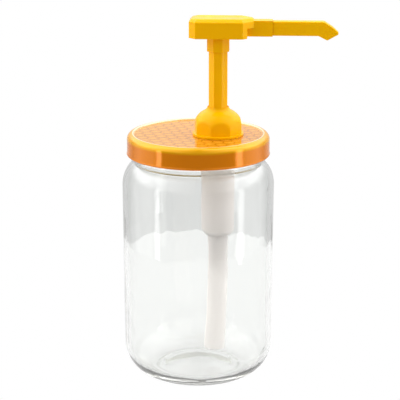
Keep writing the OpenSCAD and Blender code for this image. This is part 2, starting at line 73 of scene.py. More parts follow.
camera_data = bpy.data.cameras.new("camera")
camera_data.lens = LENS
camera_data.sensor_width = SENSOR
camera = bpy.data.objects.new("camera", camera_data)
camera.location = (CAMERA_AWAY * math.sin(VIEW_TURN), -CAMERA_AWAY * math.cos(VIEW_TURN), CAMERA_UP)
camera.rotation_euler = (TILT, 0, PAN + VIEW_TURN)
bpy.context.scene.collection.objects.link(camera)
bpy.context.scene.camera = camera
bpy.context.scene.view_settings.view_transform = "Standard"
print(f"camera {camera.location.length:.3f} m from the jar's foot")

# %% [markdown]
# ## Shared sizes and helpers
# Everything below is written in millimetres, as a drawing would be, and is turned to metres where
# the mesh is made. Most pieces are turned shapes: an outline of radius and height, spun round an
# axis. The jar's rim is the height that everything else on it is counted from, so an outline on
# the neck, the lid or the pump is written from there and `from_rim` lifts it into place. `soften`
# rounds the corners of an outline, because a moulded or drawn edge is never perfectly sharp and
# its small radius catches the light.

# %% Outlines
MM = 0.001
PUMP_X = (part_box("pump_cylinder")[0][0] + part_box("pump_cylinder")[1][0]) / 2 / MM
RIM_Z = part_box("glass_jar")[1][2] / MM
PANEL_Z = RIM_Z + 1.2  # top of the lid's sunk panel


def from_rim(points):
    """An outline whose heights are counted from the jar's rim, put at its place."""
    return [(x, z + RIM_Z, *radius) for x, z, *radius in points]


def arc(x, z, r, start, end, steps=8):
    """Points on an arc about (x, z), angles in degrees."""
    turn = [math.radians(start + (end - start) * k / steps) for k in range(steps + 1)]
    return [(x + r * math.cos(a), z + r * math.sin(a)) for a in turn]


def soften(points, steps=4):
    """Rounds each corner that has a third number, its radius, within 0.45 of both its sides."""
    out = []
    for i, point in enumerate(points):
        here = Vector(point[:2])
        if len(point) < 3:
            out.append(here)
            continue
        back = Vector(points[i - 1][:2]) - here
        on = Vector(points[(i + 1) % len(points)][:2]) - here
        reach = min(point[2] / math.tan(back.angle(on) / 2), 0.45 * back.length, 0.45 * on.length)
        start, end = here + back.normalized() * reach, here + on.normalized() * reach
        for k in range(steps + 1):
            t = k / steps
            out.append(start * (1 - t) ** 2 + here * 2 * t * (1 - t) + end * t * t)
    return out


def fine(points, step):
    """Adds points so that no stretch of an outline is longer than step."""
    out = []
    for a, b in zip(points, points[1:]):
        parts = max(1, math.ceil((Vector(b) - Vector(a)).length / step))
        out += [Vector(a).lerp(Vector(b), k / parts) for k in range(parts)]
    return out + [Vector(points[-1])]


print(f"pump axis at X = {PUMP_X:.2f} mm, rim at Z = {RIM_Z:.2f} mm")

# %% [markdown]
# `skin` joins loops of points with four-sided faces. A turned shape is a stack of round loops, a
# tube is a row of loops along a line, and the lid is a ring of loops that closes on itself.
# `piece` makes the mesh, merges the points that meet at a pole and turns all faces outwards, and
# `dress` hangs the piece on the body it moves with and hides the node it stands for.

# %% Meshes
def skin(loops, closed):
    """Points and faces of a surface through loops of equal length; closed joins last to first."""
    n, count = len(loops[0]), len(loops)
    faces = []
    for i in range(count if closed else count - 1):
        j = (i + 1) % count
        faces += [(i * n + k, i * n + (k + 1) % n, j * n + (k + 1) % n, j * n + k) for k in range(n)]
    return [p for loop in loops for p in loop], faces


def turned(outline, x=0.0, steps=128, angles=None, shape=None):
    """A round solid: its outline starts and ends on the axis, or else closes on itself."""
    angles = angles or [2 * math.pi * k / steps for k in range(steps)]
    loops = []
    for i, (r, z) in enumerate(outline):
        loop = []
        for a in angles:
            rr, zz = shape(i, r, z, a) if shape else (r, z)
            loop.append((x + rr * math.cos(a), rr * math.sin(a), zz))
        loops.append(loop)
    return skin(loops, closed=outline[0][0] > 1e-6)


def dress(obj, body, slot, *nodes):
    """The piece moves with a body and stands for CAD nodes; slot is not used."""
    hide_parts(*nodes)
    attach(obj, body)
    print(f"{obj.name}: {len(obj.data.polygons)} faces on {body}")


def tidy_mesh(mesh, sharp):
    """Merges doubles, turns faces outwards and shades edges smooth below the sharp angle."""
    bm = bmesh.new()
    bm.from_mesh(mesh)
    bmesh.ops.remove_doubles(bm, verts=bm.verts, dist=0.0001 * MM)
    bmesh.ops.recalc_face_normals(bm, faces=bm.faces)
    bm.to_mesh(mesh)
    bm.free()
    mesh.shade_smooth()
    mesh.set_sharp_from_angle(angle=math.radians(sharp))


def piece(name, shape, finish, sharp=40):
    """One closed piece from points in millimetres and faces, in one finish."""
    points, faces = shape
    mesh = bpy.data.meshes.new(name)
    mesh.from_pydata([Vector(p) * MM for p in points], [], faces)
    mesh.materials.append(finish)
    tidy_mesh(mesh, sharp)
    obj = bpy.data.objects.new(name, mesh)
    bpy.context.scene.collection.objects.link(obj)
    return obj


# %% [markdown]
# ## Finishes
# A material here is one principled shader with a few texture nodes in front of it. `node` adds any
# node to any tree, with its settings and its links, and `colour` turns a screen colour into the
# linear light that a shader works in. Patterns read Object coordinates, which are metres in the
# frame, so a scale of 1000 / size gives a pattern with features of that size in millimetres. No
# real surface is even: `cloud` is soft noise of a real size, `vary` lets it move one socket of a
# shader between two values, and `relief` lets it raise the surface a little.

# %% Node and colour helpers
def node(tree, kind, inputs=None, **settings):
    """Adds one node. Inputs are values, or links from a socket or a node's first output."""
    new = tree.nodes.new(kind)
    for name, value in settings.items():
        setattr(new, name, value)
    for name, value in (inputs or {}).items():
        if isinstance(value, bpy.types.Node):
            value = value.outputs[0]
        if isinstance(value, bpy.types.NodeSocket):
            tree.links.new(value, new.inputs[name])
        else:
            new.inputs[name].default_value = value
    return new


def colour(text):
    """Linear colour of an sRGB hex value such as #F0A010."""
    parts = [int(text[i:i + 2], 16) / 255 for i in (1, 3, 5)]
    return [c / 12.92 if c <= 0.04045 else ((c + 0.055) / 1.055) ** 2.4 for c in parts] + [1.0]


print("amber in linear light:", [round(c, 3) for c in colour("#F3AE00")])

# %% Finish helpers
LOW, HIGH = 0.3, 0.7  # soft noise seldom goes past these


def new_finish(name, **sockets):
    """A material with one principled shader, its plain values set on the shader's own sockets."""
    material = bpy.data.materials.new(name)
    material.use_nodes = True
    tree = material.node_tree
    tree.nodes.clear()
    shader = node(tree, "ShaderNodeBsdfPrincipled",
                  {key.replace("_", " "): value for key, value in sockets.items()})
    node(tree, "ShaderNodeOutputMaterial", {"Surface": shader})
    place = node(tree, "ShaderNodeTexCoord").outputs["Object"]
    return material, tree, shader, place


def cloud(tree, place, size, detail=2.0, stretch=(1, 1, 1)):
    """Soft noise with features of a size in millimetres, as a value round 0.5."""
    spread = node(tree, "ShaderNodeMapping", {"Vector": place, "Scale": stretch})
    return node(tree, "ShaderNodeTexNoise",
                {"Vector": spread, "Scale": 1 / (size * MM), "Detail": detail})


def vary(tree, shader, name, value, first, second):
    """Lets soft noise move a socket of a shader between two numbers, or two hex colours."""
    coloured = isinstance(first, str)
    low, high = (0, 1) if coloured else (first, second)
    spread = node(tree, "ShaderNodeMapRange", {
        "Value": value, "From Min": LOW, "From Max": HIGH, "To Min": low, "To Max": high},
        interpolation_type="SMOOTHSTEP").outputs[0]
    if coloured:
        spread = node(tree, "ShaderNodeMix", {0: spread, 6: colour(first), 7: colour(second)},
                      data_type="RGBA").outputs[2]
    tree.links.new(spread, shader.inputs[name])


def relief(tree, shader, height, depth):
    """Small bumps of a depth in millimetres on a shader."""
    bump = node(tree, "ShaderNodeBump", {"Height": height, "Strength": 1.0, "Distance": depth * MM})
    tree.links.new(bump.outputs[0], shader.inputs["Normal"])


# %% [markdown]
# **Container glass** is clear soda-lime glass, blown into an iron mould. The outside is fire
# polished and the inside was never touched by a tool, so the faces are smooth but wander a little,
# and everything seen through the jar is gently bent. So the shader is full transmission with no
# roughness to speak of, and long, shallow ripples of 9 mm and 30 mm. Light on its way to other
# pieces goes straight through, or the inside of the jar would be dark. A ray that has bounced more
# than five times is caught in the thick wall of the heel. It goes straight on too, through a light
# grey, as such glass looks.

# %% Container glass
CAUGHT = 5.5  # true from the sixth bounce on


def container_glass():
    material, tree, shader, place = new_finish(
        "container glass, blown", Base_Color=colour("#FBFCFB"), Transmission_Weight=1.0, IOR=1.5)
    vary(tree, shader, "Roughness", cloud(tree, place, 14, 3), 0.0, 0.035)
    long_wave = cloud(tree, place, 30, 1)
    short_wave = cloud(tree, place, 9, 1, (1, 1, 0.6))
    waves = node(tree, "ShaderNodeMath", {0: long_wave, 1: short_wave}, operation="ADD")
    relief(tree, shader, waves, 0.10)
    path = node(tree, "ShaderNodeLightPath").outputs
    lighting = node(tree, "ShaderNodeMath", {0: path["Is Shadow Ray"], 1: path["Is Diffuse Ray"]},
                    operation="MAXIMUM")
    caught = node(tree, "ShaderNodeMath", {0: path["Ray Depth"], 1: CAUGHT}, operation="GREATER_THAN")
    grey = node(tree, "ShaderNodeBsdfTransparent", {"Color": colour("#DFDFDC")})
    clear = node(tree, "ShaderNodeBsdfTransparent", {"Color": (1, 1, 1, 1)})
    bent = node(tree, "ShaderNodeMixShader", {0: caught, 1: shader, 2: grey})
    both = node(tree, "ShaderNodeMixShader", {0: lighting, 1: bent, 2: clear})
    tree.links.new(both.outputs[0], tree.nodes["Material Output"].inputs["Surface"])
    return material


GLASS = container_glass()
print(GLASS.name)

# %% [markdown]
# **Yellow moulded plastic** is glossy polypropylene or ABS, coloured right through. Its skin copies
# a polished mould, with the fine orange peel that plastic gets as it shrinks. Light goes a little
# way in and comes out deeper in colour, which is why its shaded faces turn amber and not grey. The
# peel is 0.9 mm across, and the slow change in gloss follows the flow of the melt, about 12 mm.
# The white parts inside are the same kind of moulding, a little duller.

# %% Yellow plastic
def moulded_plastic(name, light, deep, rough, bleed, shine=0.5, peel=0.006):
    material, tree, shader, place = new_finish(
        name, IOR=1.5, Subsurface_Weight=bleed, Subsurface_Radius=(1.0, 0.45, 0.12),
        Subsurface_Scale=2.0 * MM, Specular_IOR_Level=shine)
    flow = cloud(tree, place, 12, 3, (1, 1, 0.5))
    vary(tree, shader, "Base Color", flow, deep, light)
    vary(tree, shader, "Roughness", flow, rough * 0.8, rough * 1.25)
    relief(tree, shader, cloud(tree, place, 0.9, 2), peel)
    return material


YELLOW = moulded_plastic("yellow plastic, moulded", "#FFBE00", "#FCB800", rough=0.18, bleed=0.12,
                         shine=0.12)
WHITE = moulded_plastic("white polypropylene, moulded", "#ECEAE2", "#E4E1D7", rough=0.35, bleed=0.3)
SEAL = moulded_plastic("soft polyethylene, moulded", "#EFEEE9", "#E6E4DC", rough=0.45, bleed=0.4,
                       peel=0.003)
print(YELLOW.name, WHITE.name, SEAL.name, sep="; ")

# %% [markdown]
# **Milky plastic** is uncoloured polypropylene. It lets light through but scatters it, so the
# spring inside shows only as a soft dark core. That is a rough transmission mixed with a white
# body that passes light on without a picture of what is behind. Fine lines run along it, from the
# mould and the extruder. The real ones are too fine to show, so they are drawn 0.8 mm apart.

# %% Milky plastic
PASSED_ON = 0.45  # share of the light that goes through without a picture


def milky_plastic(name, clear, rough, base):
    material, tree, shader, place = new_finish(
        name, IOR=1.49, Transmission_Weight=clear, Base_Color=colour(base))
    flow = cloud(tree, place, 6, 2, (1, 1, 0.15))
    vary(tree, shader, "Roughness", flow, rough * 0.85, rough * 1.15)
    relief(tree, shader, cloud(tree, place, 0.8, 1, (1, 1, 0.04)), 0.012)
    through = node(tree, "ShaderNodeBsdfTranslucent", {"Color": colour(base)})
    both = node(tree, "ShaderNodeMixShader", {0: PASSED_ON, 1: shader, 2: through})
    tree.links.new(both.outputs[0], tree.nodes["Material Output"].inputs["Surface"])
    return material


BARREL = milky_plastic("milky polypropylene, moulded", clear=0.28, rough=0.42, base="#FFFCFA")
TUBE = milky_plastic("milky polyethylene, extruded", clear=0.35, rough=0.35, base="#FEFCFA")
print(BARREL.name, TUBE.name, sep="; ")

# %% [markdown]
# ** Lacquered tinplate** is steel sheet with a printed, baked orange coat under clear varnish. The
# varnish is as glossy as a window, so at the low angle of the picture the panel mirrors the
# studio and turns pale, and the print under it gives that mirror a warm tint. The side is amber on
# the rounded rim and a deeper, burnt orange down the skirt to the rolled edge, and a pale ring is
# painted on the bead round the panel as its highlight. The panel has a plain honeycomb of cells
# 6.5 mm wide. The inside has a pale gold lacquer, told apart by an attribute that the mesh carries.
#
# The honeycomb is worked out and not drawn. Two brick patterns of points, each a cell wide and
# root three cells high, lie half a step apart. Every place belongs to the nearer point, and its
# distance to that point's hexagon gives the dark line between the cells.

# %% Honeycomb
CELL = 6.5  # width of a printed cell, mm
PRINT_TURN = math.radians(12)  # the rows of cells against +X


def honeycomb(tree, place):
    """0 on the line between two cells, rising to 1 in the middle of a cell."""
    flat = node(tree, "ShaderNodeMapping", {"Vector": place, "Rotation": (0, 0, PRINT_TURN),
                "Scale": (1 / (CELL * MM), 1 / (CELL * MM), 0)})
    brick, half = (1.0, math.sqrt(3), 1.0), (0.5, math.sqrt(3) / 2, 0.0)
    near, squares = [], []
    for shift in ((0, 0, 0), half):
        moved = node(tree, "ShaderNodeVectorMath", {0: flat, 1: shift}, operation="SUBTRACT")
        wrapped = node(tree, "ShaderNodeVectorMath", {0: moved, 1: brick, 2: (0, 0, 0)},
                       operation="WRAP")
        off = node(tree, "ShaderNodeVectorMath", {0: wrapped, 1: half}, operation="SUBTRACT")
        square = node(tree, "ShaderNodeVectorMath", {0: off, 1: off}, operation="DOT_PRODUCT")
        near.append(off)
        squares.append(square.outputs["Value"])
    second = node(tree, "ShaderNodeMath", {0: squares[0], 1: squares[1]}, operation="GREATER_THAN")
    nearest = node(tree, "ShaderNodeMix", {0: second, 4: near[0], 5: near[1]},
                   data_type="VECTOR").outputs[1]
    side = node(tree, "ShaderNodeVectorMath", {0: nearest}, operation="ABSOLUTE")
    slanted = node(tree, "ShaderNodeVectorMath", {0: side, 1: half}, operation="DOT_PRODUCT")
    straight = node(tree, "ShaderNodeVectorMath", {0: side, 1: (1, 0, 0)}, operation="DOT_PRODUCT")
    reach = node(tree, "ShaderNodeMath", {0: slanted.outputs["Value"], 1: straight.outputs["Value"]},
                 operation="MAXIMUM")
    edge = node(tree, "ShaderNodeMath", {0: 0.5, 1: reach}, operation="SUBTRACT")
    return node(tree, "ShaderNodeMath", {0: edge, 1: 2.0}, operation="MULTIPLY")


# %% Lid side colours with a painted highlight, and print on the panel
AMBER_FROM, AMBER_TO = RIM_Z - 2.2, RIM_Z - 0.2  # heights between which the side turns amber
# the pale ring on the bead round the panel is a painted highlight
HIGHLIGHT_RING_R, HIGHLIGHT_RING_FULL, HIGHLIGHT_RING_GONE = 38.3, 0.35, 0.8  # middle of the pale border, and its reach
PANEL_PRINT_R = 37.4


def side_colours_and_highlight(tree, place, away):
    """Burnt orange down the skirt, amber on the rounded rim, and a pale ring painted on the bead as its
    highlight.
    """
    height = node(tree, "ShaderNodeSeparateXYZ", {0: place}).outputs[2]
    rise = node(tree, "ShaderNodeMapRange", {
        "Value": height, "From Min": AMBER_FROM * MM, "From Max": AMBER_TO * MM},
        interpolation_type="SMOOTHSTEP")
    skirt = node(tree, "ShaderNodeMix", {0: rise, 6: colour("#DE7E00"), 7: colour("#EAA600")},
                 data_type="RGBA").outputs[2]
    # a pale ring painted on the bead round the panel, standing in for its highlight
    across = node(tree, "ShaderNodeMath", {0: away, 1: HIGHLIGHT_RING_R * MM}, operation="SUBTRACT")
    off = node(tree, "ShaderNodeMath", {0: across}, operation="ABSOLUTE")
    painted_highlight = node(tree, "ShaderNodeMapRange", {
        "Value": off, "From Min": HIGHLIGHT_RING_FULL * MM, "From Max": HIGHLIGHT_RING_GONE * MM,
        "To Min": 1, "To Max": 0}, interpolation_type="SMOOTHSTEP")
    return node(tree, "ShaderNodeMix", {0: painted_highlight, 6: skirt, 7: colour("#F7E6C4")},
                data_type="RGBA").outputs[2]


def panel_print(tree, place, worn):
    """Honey-coloured cells with soft brown lines, a little uneven in their ink."""
    cells = honeycomb(tree, place)
    uneven = node(tree, "ShaderNodeMapRange", {
        "Value": worn, "From Min": LOW, "From Max": HIGH, "To Min": -0.06, "To Max": 0.06},
        interpolation_type="SMOOTHSTEP")
    line = node(tree, "ShaderNodeMath", {0: cells, 1: uneven}, operation="ADD")
    ink = node(tree, "ShaderNodeMapRange", {"Value": line, "From Min": 0.05, "From Max": 0.22},
               interpolation_type="SMOOTHSTEP")
    glow = node(tree, "ShaderNodeMapRange", {"Value": cells, "From Min": 0.2, "From Max": 1.0},
                interpolation_type="SMOOTHSTEP")
    honey = node(tree, "ShaderNodeMix", {0: glow, 6: colour("#D89420"), 7: colour("#E2A22E")},
                 data_type="RGBA").outputs[2]
    return node(tree, "ShaderNodeMix", {0: ink, 6: colour("#BC7C14"), 7: honey},
                data_type="RGBA").outputs[2]


# %% Lacquered tinplate
def lacquered_tinplate():
    material, tree, shader, place = new_finish(
        "tinplate, printed and varnished", IOR=1.5, Metallic=0.22, Specular_IOR_Level=0.2,
        Specular_Tint=colour("#FFD080"), Coat_Weight=0.48, Coat_Roughness=0.03)
    worn = cloud(tree, place, 7, 3)
    flat = node(tree, "ShaderNodeVectorMath", {0: place, 1: (1, 1, 0)}, operation="MULTIPLY")
    away = node(tree, "ShaderNodeVectorMath", {0: flat}, operation="LENGTH").outputs["Value"]
    on_panel = node(tree, "ShaderNodeMath", {0: away, 1: PANEL_PRINT_R * MM}, operation="LESS_THAN")
    outside = node(tree, "ShaderNodeMix", {0: on_panel, 6: side_colours_and_highlight(tree, place, away),
                   7: panel_print(tree, place, worn)}, data_type="RGBA").outputs[2]
    inner = node(tree, "ShaderNodeAttribute", attribute_name="inner side").outputs["Fac"]
    coat = node(tree, "ShaderNodeMix", {0: inner, 6: outside, 7: colour("#D9C38A")},
                data_type="RGBA").outputs[2]
    tree.links.new(coat, shader.inputs["Base Color"])
    vary(tree, shader, "Roughness", worn, 0.08, 0.15)
    relief(tree, shader, cloud(tree, place, 1.6, 2), 0.004)
    return material


TINPLATE = lacquered_tinplate()
print(TINPLATE.name, "with", len(TINPLATE.node_tree.nodes), "nodes")

# %% [markdown]
# **Small inner pieces.** The spring is drawn stainless wire: a metal with fine lines along it from
# the die. The balls are ground and polished stainless steel, almost a mirror. The washer is
# stamped from the same kind of steel. The ring under the lid is black rubber with a matt, slightly
# dusty skin, and the lid's sealing ring is flowed-in white compound, soft and satin.

# %% Steel, rubber and sealing compound
def steel(name, tone, rough, line=(1, 1, 1)):
    material, tree, shader, place = new_finish(name, Metallic=1.0)
    grain = cloud(tree, place, 0.6, 3, line)
    vary(tree, shader, "Base Color", grain, tone, "#D8D6D0")
    vary(tree, shader, "Roughness", grain, rough * 0.7, rough * 1.4)
    relief(tree, shader, grain, 0.003)
    return material


def soft_compound(name, light, dark, rough):
    material, tree, shader, place = new_finish(name, IOR=1.5)
    dust = cloud(tree, place, 3, 5)
    vary(tree, shader, "Base Color", dust, dark, light)
    vary(tree, shader, "Roughness", dust, rough, rough * 1.2)
    relief(tree, shader, cloud(tree, place, 0.5, 2), 0.02)
    return material


WIRE = steel("stainless wire, drawn", "#8E8C88", 0.28, (1, 1, 6))
BALL = steel("stainless steel, ground", "#C4C3C0", 0.08)
SHEET = steel("stainless sheet, stamped", "#A8A6A0", 0.3, (6, 1, 1))
RUBBER = soft_compound("black rubber, moulded", "#2B2A29", "#1B1A1A", 0.62)
COMPOUND = soft_compound("white sealing compound, flowed in", "#E9E5DA", "#DEDACD", 0.4)
print(f"{len(bpy.data.materials)} materials")

# %% [markdown]
# ## Jar
# The jar is one closed wall of glass: up the outside, over the rim, down the inside. Real jars are
# pressed and then blown, so the outside follows the mould and the inside only roughly follows the
# outside. The inner loops are therefore moved in and out by slow noise, by up to about a fifth of a
# millimetre, and this is what makes the lines seen through the jar waver. The six thread ridges
# and the two fine mould seams are raised on the same surface, so the glass stays one piece.

# %% Jar outline
NECK_R, HEEL_R, WALL_TOP = 38.9, 19.7, RIM_Z - 28.2
NECK_LOW, NECK_HIGH = RIM_Z - 9.7, RIM_Z - 2.7  # the upright stretch that carries the ridges
FOOT_R, FOOT_LIFT = 24.4, 0.3  # the foot's middle, and the height of its fine stipples

# bottom and foot, heel, wall and shoulder
jar_out = [(0, 3.2), (6, 3.0), (11.2, 2.4), (14.4, 1.8), (17.2, 1.2), (19.1, 0.7),
           (20.4, FOOT_LIFT), (27.8, FOOT_LIFT)]
jar_out += arc(FOOT_R, HEEL_R, HEEL_R, -80, 0, 30)
jar_out += fine([(44.1, HEEL_R), (44.8, WALL_TOP)], 4)[1:-1]
jar_out += arc(27.8, WALL_TOP, 17, 0, 51.4, 24)
# bead under the thread, neck and rim
jar_out += soften(from_rim([(38.4, -14.8), (39.0, -14.0, 0.5), (39.5, -13.7, 0.3), (39.8, -12.9)]))[1:]
jar_out += from_rim(arc(39.0, -12, 0.9, -30, 50, 8))
jar_out += soften(from_rim([(39.5, -11.2), (NECK_R, -10.1, 0.6), (NECK_R, -9.6)]))[1:]
jar_out += fine(from_rim([(NECK_R, -9.5), (NECK_R, -3.2)]), 0.3)
jar_out += from_rim(arc(37.9, -1, 1, 0, 90, 6))
# the inside, from the rim down to the raised middle of the bottom
jar_in = from_rim(arc(37.2, -1, 1, 90, 180, 6))
jar_in += fine(from_rim([(36.2, -2.2), (36.2, -13.7)]), 3)
jar_in += soften(from_rim([(36.2, -13.7), (36.2, -16.4, 2), (36.9, -17.1)]))[1:-1]
jar_in += arc(27.8, WALL_TOP, 14.4, 50, 0, 20)
jar_in += fine([(42.2, WALL_TOP - 1), (41.5, 30)], 3)
jar_in += arc(28.5, 18.2, 13, 0, -90, 24)
jar_in += [(25, 5.4), (21, 5.7), (17, 6.1), (12, 6.5), (6, 7.0), (0, 7.2)]
print(f"jar outline of {len(jar_out)} outside and {len(jar_in)} inside points")


# %% Jar surface: ridges, seams and the wandering inner wall
RIDGE_PITCH, RIDGE_FROM, RIDGE_LENGTH, RIDGE_END = 60, 12, 36, 4  # degrees
RIDGE_HEIGHT, RIDGE_LEAD = 1.6, 0.3  # out from the neck, and its climb along its length
SEAM, SEAM_HEIGHT, SEAM_SIDE = math.radians(8), 0.10, 0.6  # its place from +X, its size in mm
BOTTOM_R = 30  # within this radius a point belongs to the bottom


def ramp(value, width):
    """0 to 1 over a width, with soft ends."""
    t = min(max(value / width, 0.0), 1.0)
    return t * t * (3 - 2 * t)


def thread_ridge(angle, z):
    """Height of the six ridges over the neck at one place: flat below, sloped above."""
    z -= RIM_Z
    turn = (math.degrees(angle) % RIDGE_PITCH) - RIDGE_FROM
    along = ramp(turn, RIDGE_END) * ramp(RIDGE_LENGTH - turn, RIDGE_END)
    lead = RIDGE_LEAD * (turn / RIDGE_LENGTH - 0.5)
    return RIDGE_HEIGHT * along * ramp(z - lead + 8.1, 0.6) * ramp(lead - 5.7 - z, 1.9)


def jar_form(i, r, z, a):
    """Moves one point of the plain jar out to a ridge or a seam, or the inside by slow waves."""
    if i < len(jar_out):
        if abs(r - NECK_R) < 0.01 and NECK_LOW < z < NECK_HIGH:
            r += thread_ridge(a, z)
        off_seam = abs(math.sin(a - SEAM)) * r
        if r > BOTTOM_R and z < NECK_LOW:
            r += SEAM_HEIGHT * (1 - ramp(off_seam, SEAM_SIDE))
        return r, z
    # waves about 21 mm and 8 mm long, a little longer upwards and higher on the bottom
    spot = Vector((r * math.cos(a), r * math.sin(a), z * 0.8))
    wander = 0.16 * noise.noise(spot / 21) + 0.05 * noise.noise(spot / 8 + Vector((5, 5, 5)))
    if r < BOTTOM_R:
        return r, z + 1.5 * wander
    return r + (wander if z < RIM_Z - 2.2 else 0), z


jar_angles = sorted([2 * math.pi * k / 240 for k in range(240)]
                    + [SEAM + half + math.radians(step) for half in (0, math.pi)
                       for step in (-0.55, -0.3, 0.02, 0.3, 0.55)])
jar = piece("glass_jar_body", turned(jar_out + jar_in, angles=jar_angles, shape=jar_form), GLASS)
dress(jar, "jar", "jar_glass", "glass_jar")

# %% [markdown]
# The ring that the jar stands on is stippled: small raised bars keep the hot glass off the
# conveyor, and a scratch there does not weaken the jar. One bar is repeated round the ring, so
# this is work for Geometry Nodes: points, an instance of one bar turned on each, made real at the
# end. `grow` builds such a tree, runs it once and keeps the plain mesh.

# %% Geometry Nodes helper
def grow(name, sizes, finish, build):
    """Runs a node tree once. sizes become its named inputs; build returns its last node."""
    tree = bpy.data.node_groups.new(name, "GeometryNodeTree")
    tree.interface.new_socket(name="Geometry", in_out="OUTPUT", socket_type="NodeSocketGeometry")
    keys = {}
    for label, value in sizes.items():
        kind = "NodeSocketInt" if isinstance(value, int) else "NodeSocketFloat"
        socket = tree.interface.new_socket(name=label, in_out="INPUT", socket_type=kind)
        keys[label] = socket.identifier
    inputs = node(tree, "NodeGroupInput")
    made = build(tree, {label: inputs.outputs[label] for label in sizes})
    smooth = node(tree, "GeometryNodeSetShadeSmooth", {0: made})
    real = node(tree, "GeometryNodeRealizeInstances", {0: smooth})
    coated = node(tree, "GeometryNodeSetMaterial", {"Geometry": real, "Material": finish})
    node(tree, "NodeGroupOutput", {0: coated})
    obj = bpy.data.objects.new(name, bpy.data.meshes.new(name + "_seed"))
    bpy.context.scene.collection.objects.link(obj)
    modifier = obj.modifiers.new(name, "NODES")
    modifier.node_group = tree
    for label, value in sizes.items():
        modifier[keys[label]] = value
    graph = bpy.context.evaluated_depsgraph_get()
    mesh = bpy.data.meshes.new_from_object(obj.evaluated_get(graph))
    obj.modifiers.remove(modifier)
    obj.data = mesh
    mesh.name = name
    print(f"{name}: {sizes} gave {len(mesh.polygons)} faces")
    return obj


def ring_of(tree, count, item):
    """Instances of an item turned round the Z axis in equal steps."""
    points = node(tree, "GeometryNodePoints", {"Count": count})
    index = node(tree, "GeometryNodeInputIndex")
    step = node(tree, "ShaderNodeMath", {0: 2 * math.pi, 1: count}, operation="DIVIDE")
    angle = node(tree, "ShaderNodeMath", {0: index, 1: step}, operation="MULTIPLY")
    spin = node(tree, "ShaderNodeCombineXYZ", {"Z": angle})
    return node(tree, "GeometryNodeInstanceOnPoints",
                {"Points": points, "Instance": item, "Rotation": spin})


# %% Stipples under the foot
def stipples(tree, size):
    bar = node(tree, "GeometryNodeMeshUVSphere", {"Segments": 8, "Rings": 6, "Radius": size["bar"]})
    away = node(tree, "ShaderNodeCombineXYZ", {"X": size["ring"], "Z": size["lift"]})
    flat = node(tree, "GeometryNodeTransform",
                {"Geometry": bar, "Translation": away, "Scale": (1.0, 0.4, 0.3)})
    return ring_of(tree, size["count"], flat)


foot = grow("foot_stipples", {
    "count": 82, "ring": FOOT_R * MM, "bar": 1.05 * MM, "lift": 0.32 * MM}, GLASS, stipples)
dress(foot, "jar", "jar_glass")

# %% [markdown]
# ## Lid
# The lid is drawn from one sheet of tinplate 0.4 mm thick. The pump's hole is not in its middle,
# so it cannot be turned in one go. It is still a ring of loops, though: they run from the hole out
# to the panel's edge, each a blend of the two circles, over the rounded rim, down the skirt, round
# the rolled edge and back along the underside. The loops close on themselves at the hole.

# %% Lid shell
PANEL_R, HOLE_R, LID_R = 37.5, 10.3, 42.0
SHEET_T = 0.4  # thickness of the tinplate
lid_top_side = soften(from_rim(
    [(PANEL_R, 1.2), (37.75, 1.25, 0.2)] + arc(38.6, 1.4, 0.8, 160, 90, 8)[1:]
    + arc(38.6, -1.2, 3.4, 85, 0, 16) + [(LID_R, -4.7), (LID_R, -8.7)]))
rolled_edge = from_rim(arc(41.5, -9.75, 0.75, 38, -218, 22))
lid_under_side = from_rim([(41.6, -8.7), (41.6, -4.7)] + arc(38.6, -1.2, 3.0, 0, 85, 12)
                          + arc(38.6, 1.4, 0.4, 90, 160, 5) + [(37.7, 0.8)])


def lid_loops(steps=180):
    """The lid's loops, from the hole over the panel, round the rolled edge and back inside."""
    turn = [2 * math.pi * k / steps for k in range(steps)]

    def circle(x, r, z):
        return [(x + r * math.cos(a), r * math.sin(a), z) for a in turn]

    def panel(z, share):
        inner, outer = circle(PUMP_X, HOLE_R, z), circle(0, PANEL_R, z)
        return [Vector(p).lerp(Vector(q), share) for p, q in zip(inner, outer)]

    top = [panel(PANEL_Z, k / 8) for k in range(8)]
    outside = [circle(0, r, z) for r, z in lid_top_side + rolled_edge + lid_under_side]
    under = [panel(PANEL_Z - SHEET_T, k / 8) for k in range(8, -1, -1)]
    return top + outside + under


lid = piece("tinplate_lid", skin(lid_loops(), closed=True), TINPLATE, sharp=60)


def faces_inwards(face):
    """True under the panel and on the inside of the skirt, where the lacquer is pale gold."""
    flat, height = face.center.to_2d(), face.center.z / MM
    away = flat.length / MM
    under = height < PANEL_Z - 0.05 and face.normal.z < -0.5 and away < 40.5
    towards_axis = face.normal.to_2d().dot(flat) < -1e-4
    return under or (38 < away < 41.7 and height < PANEL_Z + 0.4 and towards_axis)


inner_side = lid.data.attributes.new("inner side", "FLOAT", "FACE")
inner_side.data.foreach_set("value", [float(faces_inwards(f)) for f in lid.data.polygons])
dress(lid, "lid", "lid_lacquer", "lid_shell")

# %% [markdown]
# Six lugs are pressed in from the rolled edge. Each is a short arc of rounded section with closed
# ends, so one lug is a profile swept along an arc, and the tree repeats it six times.

# %% Lugs
LUG_SPAN = math.radians(14)


def lugs(tree, size):
    path = node(tree, "GeometryNodeCurveArc", {
        "Resolution": 12, "Radius": size["ring"], "Start Angle": -LUG_SPAN / 2,
        "Sweep Angle": LUG_SPAN})
    tab = node(tree, "GeometryNodeCurvePrimitiveQuadrilateral",
               {"Width": size["width"], "Height": size["height"]})
    round_tab = node(tree, "GeometryNodeFilletCurve",
                     {"Curve": tab, "Radius": size["edge"], "Count": 3}, mode="POLY")
    swept = node(tree, "GeometryNodeCurveToMesh",
                 {"Curve": path, "Profile Curve": round_tab, "Fill Caps": True})
    raised = node(tree, "ShaderNodeCombineXYZ", {"Z": size["height above table"]})
    placed = node(tree, "GeometryNodeTransform", {"Geometry": swept, "Translation": raised})
    return ring_of(tree, size["count"], placed)


lug_ring = grow("lid_lugs", {
    "count": 6, "ring": 40.38 * MM, "width": 1.75 * MM, "height": 1.15 * MM, "edge": 0.35 * MM,
    "height above table": (RIM_Z - 9.6) * MM}, TINPLATE, lugs)
dress(lug_ring, "lid", "lid_lacquer")

